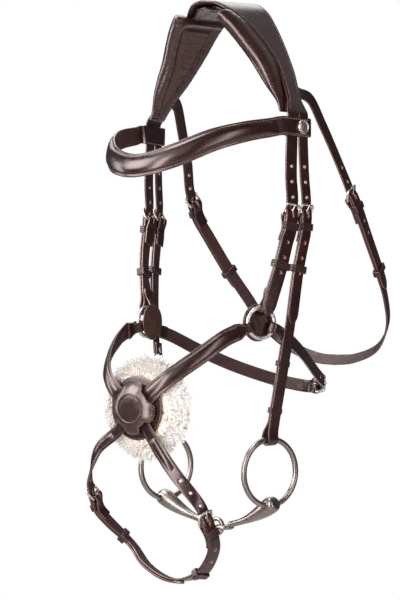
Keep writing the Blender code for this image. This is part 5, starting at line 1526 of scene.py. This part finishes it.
def crown_pad(label):
    side = SIDES[label]
    front, rear = EDGES[label]
    first, last = PAD_END_SHARE, len(front) - 1 - PAD_SHORT
    depth = LEATHER / 2 + GAP + PAD_THICKNESS / 2
    shape = bmesh.new()
    rings, finishes, border = [], [], []
    along, before = -1.0, None
    for number in range(PAD_ROWS + 1):
        position = first + (last - first) * number / PAD_ROWS
        a, b = blend(front, position), blend(rear, position)
        ahead = blend(front, min(position + 0.1, len(front) - 1)) - blend(front, position - 0.1)
        across = (b - a).normalized()
        out = ahead.cross(across).normalized()
        if out.dot(Vector((side, 0.0, 1.0))) < 0:
            out.negate()
        full = ease((position - ROLL_FROM) / ROLL_EASE)
        share = blend(ROLL_POINTS, position).y
        roll = PAD_FORWARD * (share * full + min(share, -0.12) * (1 - full))
        if full > 0:
            along = 0.0 if along < 0 else along + (a - before).length
        before = a
        slim = 1.0 - PAD_SLIMMER * ease((position - SLIM_FROM) / SLIM_OVER)
        start = a - across * roll - out * depth
        stop = b - across * PAD_INSET - out * depth
        close = min(1.0, number / 4, (PAD_ROWS - number) / 5)
        close = math.sqrt(max(0.0, 1 - (1 - close) ** 2)) * 0.9 + 0.1
        from_top = max(along, 0.0) + (0.0 if full > 0 else RIM_WIDTH / 2)
        section = pad_ring(full, roll, (stop - start).length, from_top, slim * close)
        lifted = [(x, y + wrinkled(position, x, y, side)) for x, y, kind in section]
        rings.append([shape.verts.new(start + across * x + out * y) for x, y in lifted])
        finishes.append([kind for x, y, kind in section])
        if full > 0.99 and along > RIM_CORNER and position < last - 0.2:
            inset = RIM_WIDTH
        elif full > 0.99 and RIM_WIDTH < along <= RIM_CORNER:
            inset = RIM_CORNER - math.sqrt((RIM_CORNER - RIM_WIDTH) ** 2
                                           - (RIM_CORNER - along) ** 2)
        else:
            continue
        border.append((start + across * inset - out * (ROLL_BELLY * 0.42 * slim), -out))
    for a, b, kinds in zip(rings, rings[1:], finishes):
        bridge(shape, a, b, kinds=kinds)
    for ring in (rings[0], rings[-1]):
        fan(shape, ring, sum((vert.co for vert in ring), Vector()) / len(ring))
    name = "crown_pad_" + label
    pad = new_object(name + "_cushion", mesh_from(name, shape), PAD_LEATHER, LINING)
    own(pad, name, slot="soft_leather")
    stitches(name + "_stitching", [border])


for label in SIDES:
    crown_pad(label)

# %% The sheet's front edge is rolled over a cord where it bridges the poll
PIPING, PIPING_END, PIPING_STEPS = 0.0017, 2.6, 40
piping_line = []
for label, steps in (("near", range(PIPING_STEPS, -1, -1)), ("far", range(1, PIPING_STEPS + 1))):
    for i in steps:
        position = PIPING_END * i / PIPING_STEPS
        a, b = (blend(edge, position) for edge in EDGES[label])
        piping_line.append(a - (b - a).normalized() * PIPING * 0.6)
thick = [PIPING * min(1.0, 0.25 + min(i, len(piping_line) - 1 - i) / 8)
         for i in range(len(piping_line))]
own(tube("crown_piping", piping_line, thick, PAD_LEATHER, sides=16))

# %% [markdown]
# ## Browband
# The browband lies over the forehead and keeps the headpiece from sliding back. Each end is
# folded round both billets and stitched to itself, with a round stud on the outside. Its front
# is padded like the straps above, so it is the same loft on its own route.

# %% Browband
ROSETTE_RADIUS, ROSETTE_RISE, ROSETTE_BACK = 0.0075, 0.0022, 0.005


def brow_end(label):
    """Points of the band over both billets: behind them, in front, then clear of them."""
    side, down = SIDES[label], BROW_DROP - BILLET_START
    a, b = ROUTES["noseband_" + label].frame(down), ROUTES["bit_" + label].frame(down)
    face = (a.outward + b.outward).normalized()
    front = a.place(across=-side * NOSEBAND_WIDTH / 2) + face * STACK
    rear = b.place(across=side * CHEEK_WIDTH / 2) + face * STACK
    ahead = (front - rear).normalized()
    return [(rear - ahead * KEEPER_GAP, face), (front + ahead * KEEPER_GAP, face),
            (front + ahead * BROW_RETURN / 2, face)]


def brow_route():
    brow = knots(BROW_SHARES)
    mirrored = [(Vector((-p.x, p.y, p.z)), Vector((-f.x, f.y, f.z))) for p, f in brow[-2::-1]]
    return Route(brow_end("near") + brow + mirrored + brow_end("far")[::-1])


def brow_hook(route, at, sign, reach):
    """The end behind the billets, then round their rear edge."""
    half = BROW_WIDTH / 2
    rows = [row_at(route.frame(at + sign * reach * (1 - k / 8)), half, -2 * STACK, face=-1)
            for k in range(9)]
    return rows + half_turn(route.frame(at), sign, STACK, half)


BROW_RISE = 0.0046       # its padding is rounder than the upper straps'


def build_browband():
    route = brow_route()
    ROUTES["brow"] = route
    slab = route.marks[1]

    def width(d):
        share = ease((d - slab) / REACH) * ease((route.length - slab - d) / REACH)
        return BROW_WIDTH + (BROW_FRONT_WIDTH - BROW_WIDTH) * share

    def padding(d):
        inside = min(d, route.length - d) - slab - BROW_RETURN
        return BROW_RISE * ease(inside / BROW_RETURN)

    rows = brow_hook(route, 0.0, 1, slab + BROW_RETURN)
    rows += band(route, 0.0, route.length, width, pad=padding)
    rows += reversed(brow_hook(route, route.length, -1, slab + BROW_RETURN))
    own(loft("browband_padded", rows, lambda row: padded_section(row, 0.9),
             (STRAP_FACE, LINING, STRAP_EDGE_WITH_HIGHLIGHT)), "browband")
    stitches("browband_stitching", both_seams(band(route, 0.002, route.length - 0.002, width)))


build_browband()


# %% Rosettes and hook studs
def turned(name, profile, finish, origin, axis, segments=48):
    """A turned piece from (radius, height) points, top to bottom on its outer side."""
    first = axis.orthogonal().normalized()
    shape = bmesh.new()
    rings = []
    for radius, height in profile:
        points = circle(origin + axis * height, first, axis.cross(first), radius,
                        segments if radius else 1)
        rings.append([shape.verts.new(point) for point in points])
    for a, b in zip(rings, rings[1:]):
        for k in range(segments):
            j = (k + 1) % segments
            corners = [a[k % len(a)], b[k % len(b)], b[j % len(b)], a[j % len(a)]]
            shape.faces.new(list(dict.fromkeys(corners)))
    return new_object(name, mesh_from(name, shape), finish)


def cap_profile(radius, low, rise, steps):
    """A shallow dome, from its top to its edge."""
    turns = [math.pi / 2 * k / steps for k in range(steps + 1)]
    return [(radius * math.sin(turn), low + rise * math.cos(turn)) for turn in turns]


HOOK_RADIUS, HOOK_RISE = 0.0034, 0.0017
for label in SIDES:
    route = ROUTES["brow"]
    slab = route.marks[1]
    at = slab / 2 - ROSETTE_BACK if label == "near" else route.length - slab / 2 + ROSETTE_BACK
    there = route.frame(at)
    r, h = ROSETTE_RADIUS, ROSETTE_RISE
    profile = cap_profile(r * 0.74, h * 0.55, h * 0.40, 6) + [
        (r * 0.78, h * 0.50), (r * 0.81, h * 0.62), (r * 0.84, h * 0.95), (r * 0.90, h),
        (r * 0.96, h * 0.86), (r, h * 0.5), (r, 0.0), (0.0, 0.0)]
    stud = turned("rosette_%s_stud" % label, profile, POLISHED,
                  there.place(outward=LEATHER / 2 + GAP * 0.2), there.outward)
    own(stud, "rosette_" + label, slot="steel")
    route = ROUTES["bit_" + label]
    there = route.frame(route.length - CHEEK_RETURN * 0.92)
    profile = cap_profile(HOOK_RADIUS, HOOK_RISE * 0.25, HOOK_RISE * 0.75, 7)
    profile += [(HOOK_RADIUS * 0.9, 0.0), (0.0, 0.0)]
    stud = turned("hook_stud_%s_head" % label, profile, POLISHED,
                  there.place(outward=-(STACK + LEATHER / 2 + GAP * 0.5)), -there.outward, 32)
    own(stud, "hook_stud_" + label, slot="steel")

# %% [markdown]
# ## Chin, jaw and throat straps
# Three straps close the bridle: the lower one passes under the chin and has a buckle on each
# side, the jaw strap joins the two small rings behind the jaw, and the throatlash hangs loosely
# behind the cheeks. All are plain straps on their own routes, so they reuse the cells above.

# %% Lower straps and chin strap
CHIN_NEAR_TAIL, CHIN_FAR_TAIL, JAW_TAIL = 0.080, 0.158, 0.078
LOWER_ROLL_FROM, LOWER_ROLL_CLEAR, LOWER_RISE = 0.022, 0.004, 0.0021
LOWER_SLOPES, LOWER_SEAM_FROM = (0.006, 0.014), 0.012


def build_chin():
    route = ROUTES["chin"]
    near_bar, far_bar = route.marks[CHIN_NEAR_BAR + 1], route.marks[CHIN_FAR_BAR + 3]
    width = flat(LOWER_WIDTH)
    for label, start, bar, tail, sign, before in (
            ("near", 0.0, near_bar, CHIN_NEAR_TAIL, 1, 3),
            ("far", route.length, far_bar, CHIN_FAR_TAIL, -1, 2)):
        name = "lower_strap_" + label
        rows = billet_rows(route, start, bar, tail, LOWER_WIDTH, sign)
        own(punch(strap(name + "_billet", rows), billet_cuts(route, bar, before, 3, sign)), name)
        clear = bar - sign * (before + 0.6) * HOLE_PITCH
        low, high = start + sign * LOWER_ROLL_FROM, clear - sign * LOWER_ROLL_CLEAR
        roll = band(route, low, high, width, pad=lambda d: LOWER_RISE * ease(
            abs(d - low) / LOWER_SLOPES[0]) * ease(abs(high - d) / LOWER_SLOPES[1]))
        own(loft(name + "_roll", roll, raised_section, (STRAP_FACE,)))
        stitches(name + "_stitching", both_seams(band(
            route, start + sign * LOWER_SEAM_FROM, clear, width)))
    rows = fold(route, near_bar, 1, FOLD_RADIUS, FOLD_RETURN, width)
    rows += band(route, near_bar, far_bar, width)
    rows += reversed(fold(route, far_bar, -1, FOLD_RADIUS, FOLD_RETURN, width))
    cuts = [own_cut(route, near_bar), own_cut(route, far_bar, -1)]
    own(punch(strap("chin_strap_leather", rows), cuts), "chin_strap")
    lines = []
    for label, bar, sign in (("near", near_bar, 1), ("far", far_bar, -1)):
        sewn_keeper("chin_sewn_keeper_" + label, route, bar + sign * FIXED_KEEPER_AT, LOWER_WIDTH)
        buckle("chin_" + label, route, bar, LOWER_WIDTH, sign)
        sliding_keeper("chin_keeper_" + label, route, LOWER_WIDTH)
        lines += fold_seams(route, bar, sign, LOWER_WIDTH)
    stitches("chin_strap_stitching", lines)


def build_jaw():
    route = ROUTES["jaw"]
    bar = route.marks[JAW_BAR + 1]
    near_width = ring_width(JAW_WIDTH, 0.0, 1)
    far_width = ring_width(JAW_WIDTH, route.length, -1)
    level = billet_level(bar)
    end = bar + JAW_TAIL
    rows = fold(route, 0.0, 1, RING_FOLD, RING_RETURN, near_width)
    rows += band(route, 0.0, end - JAW_WIDTH, near_width, level)[:-1]
    rows += tip(route, end, JAW_WIDTH, level)
    own(punch(strap("jaw_strap_near_billet", rows), billet_cuts(route, bar, 2, 3)),
        "jaw_strap_near")
    rows = fold(route, bar, 1, FOLD_RADIUS, FOLD_RETURN, flat(JAW_WIDTH))
    rows += band(route, bar, route.length, far_width)
    rows += reversed(fold(route, route.length, -1, RING_FOLD, RING_RETURN, far_width))
    own(punch(strap("jaw_strap_far_leather", rows), [own_cut(route, bar)]), "jaw_strap_far")
    sewn_keeper("jaw_sewn_keeper", route, bar + FIXED_KEEPER_AT, JAW_WIDTH)
    buckle("jaw", route, bar, JAW_WIDTH)
    sliding_keeper("jaw_keeper", route, JAW_WIDTH)
    near_line = band(route, RING_SEAM_CLEAR, RING_RETURN - 0.001, near_width)
    far_line = band(route, route.length - RING_RETURN + 0.001, route.length - RING_SEAM_CLEAR,
                    far_width)
    stitches("jaw_strap_stitching", both_seams(near_line) + both_seams(far_line)
             + fold_seams(route, bar, 1, JAW_WIDTH))


def build_throatlash():
    halves, cuts, lines = [], [], []
    for label in SIDES:
        route = ROUTES["throat_" + label]
        bar = route.marks[THROAT_BAR + 1]
        width = flat(THROAT_WIDTH)
        rows = fold(route, bar, 1, FOLD_RADIUS, FOLD_RETURN, width)
        rows += band(route, bar, route.length, width)
        halves.append(rows)
        cuts.append(own_cut(route, bar))
        sewn_keeper("throat_sewn_keeper_" + label, route, bar + FIXED_KEEPER_AT, THROAT_WIDTH)
        buckle("throat_" + label, route, bar, THROAT_WIDTH)
        sliding_keeper("throat_keeper_" + label, route, THROAT_WIDTH)
        lines += fold_seams(route, bar, 1, THROAT_WIDTH)
    far = [row._replace(across=-row.across) for row in halves[1]]
    own(punch(strap("throatlash_strap", halves[0] + far[-2::-1]), cuts), "throatlash")
    stitches("throatlash_stitching", lines)


build_chin()
build_jaw()
build_throatlash()

# %% [markdown]
# ## The nose pad
# Where the four straps of the figure eight cross, a domed leather disc covers their ends, over a
# larger backing and a disc of sheepskin that keeps the crossing off the nose. The cover is drawn
# in between its lobes so that the straps can leave from under it. In its middle lies a bare
# oval inside a raised rim.

# %% Cover, oval and backing
NOSE_DROP, PAD_DOME, NOTCH_SHARE = 0.4195, 0.0075, 0.80
NOTCHES = {math.radians(36): math.radians(30), math.radians(-51): math.radians(23)}
BACKING_SAG, BACKING_SHARE, FLAT_DISC_SHARE = 0.0045, 1.06, 0.4
STRAP_LEVEL = Vector((0.0, REACH * -0.979, -NOSE_DROP))
AHEAD = Vector((0.0, -1.0, 0.0))


def on_nose(x, y, level):
    """A point on the nose pad: across, up, and out from the level of the straps."""
    return STRAP_LEVEL + Vector((x, 0.0, y)) + AHEAD * level


COVER_SHARE = 0.87       # of the pad's outline, so that its backing shows all round


def notch(turn):
    """How far the cover draws in at a turn: 1 over a strap, 0 on a lobe."""
    most = 0.0
    for side in SIDES.values():
        for angle, spread in NOTCHES.items():
            away = math.atan2(math.sin(angle), side * math.cos(angle)) - turn
            away = abs((away + math.pi) % (2 * math.pi) - math.pi)
            most = max(most, ease((spread - away) / (spread / 2)))
    return most


def cover_point(turn, share):
    drawn = notch(turn)
    reach = COVER_SHARE * (1 - (1 - NOTCH_SHARE) * drawn) * share
    fall = share ** 3
    height = PAD_DOME * (1 - fall) + (STACK + GAP) * drawn * fall
    return on_nose(PAD_WIDTH / 2 * reach * math.cos(turn), PAD_HEIGHT / 2 * reach * math.sin(turn),
                   height)


def disc_sheet(name, surface, rings, count, finishes, facing=AHEAD, rim=0.75, edge=0.0006):
    """A leather disc from a function of the turn and the share of its size."""
    shape = bmesh.new()
    lines = [[shape.verts.new(surface(2 * math.pi * i / count, share)) for i in range(count)]
             for share in rings]
    skived = {vert: 1.0 for line in lines[:-1] for vert in line}
    skived.update((vert, rim) for vert in lines[-1])
    middle = fan(shape, lines[0], surface(0.0, 0.0))
    skived[middle] = 1.0
    for inner, outer in zip(lines, lines[1:]):
        bridge(shape, inner, outer)
    return settle(leathered(name, shape, skived, (middle, facing), finishes, edge))


RINGS = (0.12, 0.25, 0.38, 0.5, 0.6, 0.69, 0.77, 0.84, 0.90, 0.95, 0.98, 1.0)
cover = disc_sheet("nose_pad_cover", cover_point, RINGS, 96, (PAD_LEATHER, STRAP_BACK, STRAP_EDGE_WITH_HIGHLIGHT))
own(cover, "nose_pad")


def backing_point(turn, share):
    sag = BACKING_SAG * max(0.0, share - FLAT_DISC_SHARE) ** 1.3 / (1 - FLAT_DISC_SHARE) ** 0.3
    return on_nose(PAD_WIDTH * BACKING_SHARE / 2 * share * math.cos(turn),
                   PAD_HEIGHT * BACKING_SHARE / 2 * share * math.sin(turn), -STACK - sag)


own(disc_sheet("nose_pad_backing_leather", backing_point, RINGS, 72,
               (STRAP_FACE, LINING, STRAP_EDGE_WITH_HIGHLIGHT)), "nose_pad_backing")


def round_seam(surface, share, lift, count=160):
    line = []
    for i in range(count + 1):
        turn = 2 * math.pi * i / count
        place, inner = surface(turn, share), surface(turn, share - 0.05)
        outward = (surface(turn + 0.05, share) - place).cross(inner - place).normalized()
        if outward.dot(AHEAD) < 0:
            outward.negate()
        line.append((place + outward * lift, outward))
    return line


stitches("nose_pad_stitching", [round_seam(cover_point, 0.93, LEATHER * 0.47),
                                round_seam(backing_point, 0.955, LEATHER * 0.47)])

LOBE_HALF = math.radians(27)
for label, middle in (("left", math.pi), ("right", 0.0)):
    line = []
    for i in range(41):
        turn = middle - LOBE_HALF + LOBE_HALF * i / 20
        place, inner = cover_point(turn, 0.985), cover_point(turn, 0.94)
        outward = ((place - inner).normalized() + AHEAD * 0.6).normalized()
        line.append((place + outward * LEATHER * 0.40, outward))
    stitches("nose_pad_whipping_" + label, [line], slant=math.radians(80))

OVAL_X, OVAL_Y = 0.0156, 0.0146
OVAL_RIM, OVAL_ASIDE = 0.0011, 0.0006


def dome_level(x, y):
    """Height of the cover's outer face over its middle."""
    share = math.hypot(x / (PAD_WIDTH / 2), y / (PAD_HEIGHT / 2)) / COVER_SHARE
    return PAD_DOME * (1 - share ** 3) + LEATHER / 2


points = []
for i in range(96):
    turn = 2 * math.pi * i / 96
    x, y = OVAL_ASIDE + OVAL_X * math.cos(turn), OVAL_Y * math.sin(turn)
    points.append(on_nose(x, y, dome_level(x, y)))
own(tube("nose_pad_oval_rim", points, [OVAL_RIM] * 96, PAD_LEATHER, True, 12, up=AHEAD))

# %% [markdown]
# ## Sheepskin
# Sheepskin is wool still on its hide: dense, crimped locks a couple of centimetres long that
# part a little and flop over at the rim. A smooth solid would look like foam. Here a lumpy core
# gives the depth, and thousands of tapered, curved locks grow from it, each leaning outward more
# the nearer it stands to the rim.

# %% Core and locks
FLEECE_RADIUS, FLEECE_THICKNESS, FLEECE_SAG = 0.052, 0.026, 0.013
FLEECE_FRONT = -(STACK + LEATHER / 2 + GAP)
FLEECE_HEART = Vector((0.0, 0.0, FLEECE_FRONT - FLEECE_THICKNESS / 2))
# Share of the radius and of the thickness, from the front's middle over the rim to the rear's
FLEECE_PROFILE = ((0.0, 0.0), (0.35, 0.0), (0.70, 0.0), (0.92, 0.10), (1.0, 0.45), (0.93, 0.85),
                  (0.70, 1.0), (0.35, 1.0), (0.0, 1.0))
CORE_SHARE, CORE_COUNT, CORE_LEVELS = 0.96, 72, 26
LOCKS, LOCK_LENGTH, LOCK_RADIUS, LOCK_SIDES = 9500, 0.0084, 0.00058, 3
LOCK_FORM = ((0.0, 1.0), (0.4, 0.9), (0.75, 0.55))       # place along it, and thickness
BARE_SHARE = 0.58        # under the pad there is no wool to see
STRAP_BACK_LEVEL = -(LEATHER / 2 + GAP)
FLEECE = fleece_finish("cream_fleece", STRAP_LEVEL)


def fleece_surface(turn, level):
    """A point on the fleece; level runs from 0 to 1 along its profile."""
    position = level * (len(FLEECE_PROFILE) - 1)
    i = min(int(position), len(FLEECE_PROFILE) - 2)
    (r0, d0), (r1, d1) = FLEECE_PROFILE[i], FLEECE_PROFILE[i + 1]
    reach, deep = r0 + (r1 - r0) * (position - i), d0 + (d1 - d0) * (position - i)
    depth = -FLEECE_SAG * reach ** 2 - FLEECE_THICKNESS * deep * (1 - 0.25 * reach ** 2)
    radius = FLEECE_RADIUS * reach
    return Vector((radius * math.cos(turn), radius * math.sin(turn), FLEECE_FRONT + depth))


def behind_straps(local):
    """No wool comes forward of the straps that cross over it."""
    return on_nose(local.x, local.y, min(local.z, STRAP_BACK_LEVEL))


def fleece_core(shape):
    """A lumpy cushion, a little smaller than the fleece."""
    rings = []
    for k in range(1, CORE_LEVELS):
        ring = []
        for i in range(CORE_COUNT):
            local = fleece_surface(2 * math.pi * i / CORE_COUNT, k / CORE_LEVELS)
            local = FLEECE_HEART + (local - FLEECE_HEART) * CORE_SHARE
            lump = noise.noise(local * 160.0) * 0.0016 + noise.noise(local * 420.0) * 0.0008
            local += (local - FLEECE_HEART).normalized() * lump
            ring.append(shape.verts.new(on_nose(*local)))
        rings.append(ring)
    for a, b in zip(rings, rings[1:]):
        bridge(shape, a, b)
    for ring, level in ((rings[0], 0.0), (rings[-1], 1.0)):
        local = FLEECE_HEART + (fleece_surface(0.0, level) - FLEECE_HEART) * CORE_SHARE
        fan(shape, ring, on_nose(*local))


def on_front(spot):
    return spot.z > FLEECE_FRONT - FLEECE_THICKNESS * 0.35


def lock_start(turn, level):
    """Where a lock stands on the fleece, and the way out of it there."""
    spot = fleece_surface(turn, level)
    near = fleece_surface(turn, min(1.0, level + 0.02))
    out = (fleece_surface(turn + 0.05, level) - spot).cross(near - spot)
    if out.dot(spot - FLEECE_HEART) < 0:
        out.negate()
    return spot, out


def lock(shape, wool, spot, out, level):
    """One tapered lock, bent a little, that leans out the more the nearer it is to the rim."""
    rim = Vector((spot.x, spot.y, 0.0))
    lean = rim.normalized() if rim.length > 1e-6 else Vector((1, 0, 0))
    swirl = Vector([noise.noise(spot * 60.0 + Vector(shift))
                    for shift in ((0, 0, 0), (9, 0, 0), (0, 9, 0))])
    upright, outward = (0.45, 1.0) if on_front(spot) else (1.0, 0.35)
    head = (out * upright + lean * outward + swirl * 0.55 + Vector((0, -0.12, 0))).normalized()
    reach = LOCK_LENGTH * wool.uniform(0.6, 1.1) * (1.25 if abs(level - 0.5) < 0.2 else 1.0)
    bend = Vector((wool.uniform(-1, 1), wool.uniform(-1, 1), wool.uniform(-1, 1)))
    bend = (bend - head * bend.dot(head)) * 0.45
    wide = head.orthogonal().normalized()
    fat = LOCK_RADIUS * wool.uniform(0.7, 1.3)
    root = FLEECE_HEART + (spot - FLEECE_HEART) * (CORE_SHARE - 0.06)
    rings = []
    for share, thick in LOCK_FORM:
        middle = root + head * (reach * share) + bend * (reach * share * share)
        rings.append([shape.verts.new(behind_straps(place)) for place in
                      circle(middle, wide, head.cross(wide), fat * thick, LOCK_SIDES)])
    for a, b in zip(rings, rings[1:]):
        bridge(shape, a, b)
    fan(shape, rings[-1], behind_straps(root + head * reach + bend * reach))
    shape.faces.new(rings[0][::-1])


def build_fleece():
    shape = bmesh.new()
    fleece_core(shape)
    wool = random.Random(41)
    locks = 0
    while locks < LOCKS:
        turn = wool.uniform(0, 2 * math.pi)
        level = math.sqrt(wool.uniform(0.02, 1.0)) * 0.98 if locks % 2 else wool.uniform(0.3, 0.95)
        spot, out = lock_start(turn, level)
        hidden = on_front(spot) and math.hypot(spot.x, spot.y) < BARE_SHARE * FLEECE_RADIUS
        if out.length > 1e-12 and not hidden:
            lock(shape, wool, spot, out.normalized(), level)
            locks += 1
    made = new_object("sheepskin_wool", mesh_from("sheepskin_wool", shape), FLEECE)
    own(made, "sheepskin_disc", slot="sheepskin")
    print("fleece", locks, "locks")


build_fleece()

# %% [markdown]
# ## Ring guards and the bit
# An oval of soft leather behind each small ring keeps it off the skin. The bit is a jointed
# snaffle: each arm is thick where it lies on the bars of the mouth, ends outside in an eye that
# slides on its ring, and inside in a loop. The two loops are linked at right angles.

# %% Guards
GUARD_WIDTH, GUARD_HEIGHT, GUARD_POINTS, GUARD_SEAM = 0.035, 0.039, 72, 0.92
GUARD_RINGS = (0.3, 0.6, 0.8, GUARD_SEAM, 1.0)


def build_guard(label):
    normal = ring_directions(RING_YAW[label], SIDES[label])[0]
    place = ring_centre(label) - normal * (RING_FOLD + LEATHER + GAP)

    def guard_point(turn, share):
        return (place + UP.cross(normal) * (GUARD_WIDTH / 2 * share * math.cos(turn))
                + UP * (GUARD_HEIGHT / 2 * share * math.sin(turn)))

    name = "ring_guard_" + label
    made = disc_sheet(name + "_leather", guard_point, GUARD_RINGS, GUARD_POINTS,
                      (STRAP_FACE, LINING, STRAP_EDGE_WITH_HIGHLIGHT), normal, 0.7, EDGE_ROUNDING)
    own(made, name, slot="soft_leather")
    line = [(guard_point(2 * math.pi * i / GUARD_POINTS, GUARD_SEAM) + normal * LEATHER * 0.47,
             normal) for i in range(GUARD_POINTS + 1)]
    stitches(name + "_stitching", [line])


for label in SIDES:
    build_guard(label)

# %% The jointed mouthpiece
EYE_RADIUS, EYE_CLEAR, ARM_END_RADIUS = 0.0092, 0.0005, 0.0034
LOOP_RADIUS, LOOP_WIRE, JOINT_DROP, JOINT_FORWARD, ARM_SAG = 0.0080, 0.0024, 0.062, 0.019, 0.006


def arm_line(eye, end):
    """The arm's centre line and radii: a rounded outer end, then a long, sagging taper."""
    along = (end - eye).normalized()
    points, radii = [], []
    for k in range(8):
        share = k / 8
        points.append(eye - along * EYE_RADIUS + along * (EYE_RADIUS * share * share))
        radii.append(EYE_RADIUS * max(0.05, math.sqrt(1 - (1 - share) ** 2)) * 0.98)
    for k in range(41):
        share = k / 40
        points.append(eye.lerp(end, share) - UP * (ARM_SAG * 2 * share * (1 - share)))
        radii.append(EYE_RADIUS * (1 - (1 - ARM_END_RADIUS / EYE_RADIUS)
                                   * ease(share * 1.25) ** 0.8))
    return points, radii


def build_arm(label):
    side = SIDES[label]
    joint = Vector((0.0, -JOINT_FORWARD, -DROP - JOINT_DROP))
    eye = bit_centre(label) - UP * BIT_RING_RADIUS
    loop = joint + Vector((side * (LOOP_RADIUS - LOOP_WIRE - GAP / 2), 0, 0))
    end = loop - (loop - eye).normalized() * (LOOP_RADIUS + ARM_END_RADIUS * 0.2)
    name = "bit_arm_" + label
    made = tube(name + "_core", *arm_line(eye, end), SATIN, sides=40)
    combine(made, hoop("hole", bit_centre(label), ring_directions(BIT_YAW[label], side)[0],
                       BIT_RING_RADIUS, BIT_RING_WIRE + EYE_CLEAR, SATIN, 96), "DIFFERENCE")
    combine(made, hoop("link", loop, UP if side > 0 else Vector((0, 1, 0)), LOOP_RADIUS, LOOP_WIRE,
                       SATIN, 96), "UNION")
    for face in made.data.polygons:
        face.use_smooth = True
    soften(made)
    own(made, name, slot="steel", body=name)


def soften(thing, angle=35):
    """Shades smoothly, but keeps real corners."""
    bpy.context.view_layer.objects.active = thing
    thing.select_set(True)
    bpy.ops.object.shade_smooth_by_angle(angle=math.radians(angle))
    thing.select_set(False)


for label in SIDES:
    build_arm(label)

# %% [markdown]
# ## Last update
# The view layer is brought up to date once more.

# %% Last update
bpy.context.view_layer.update()
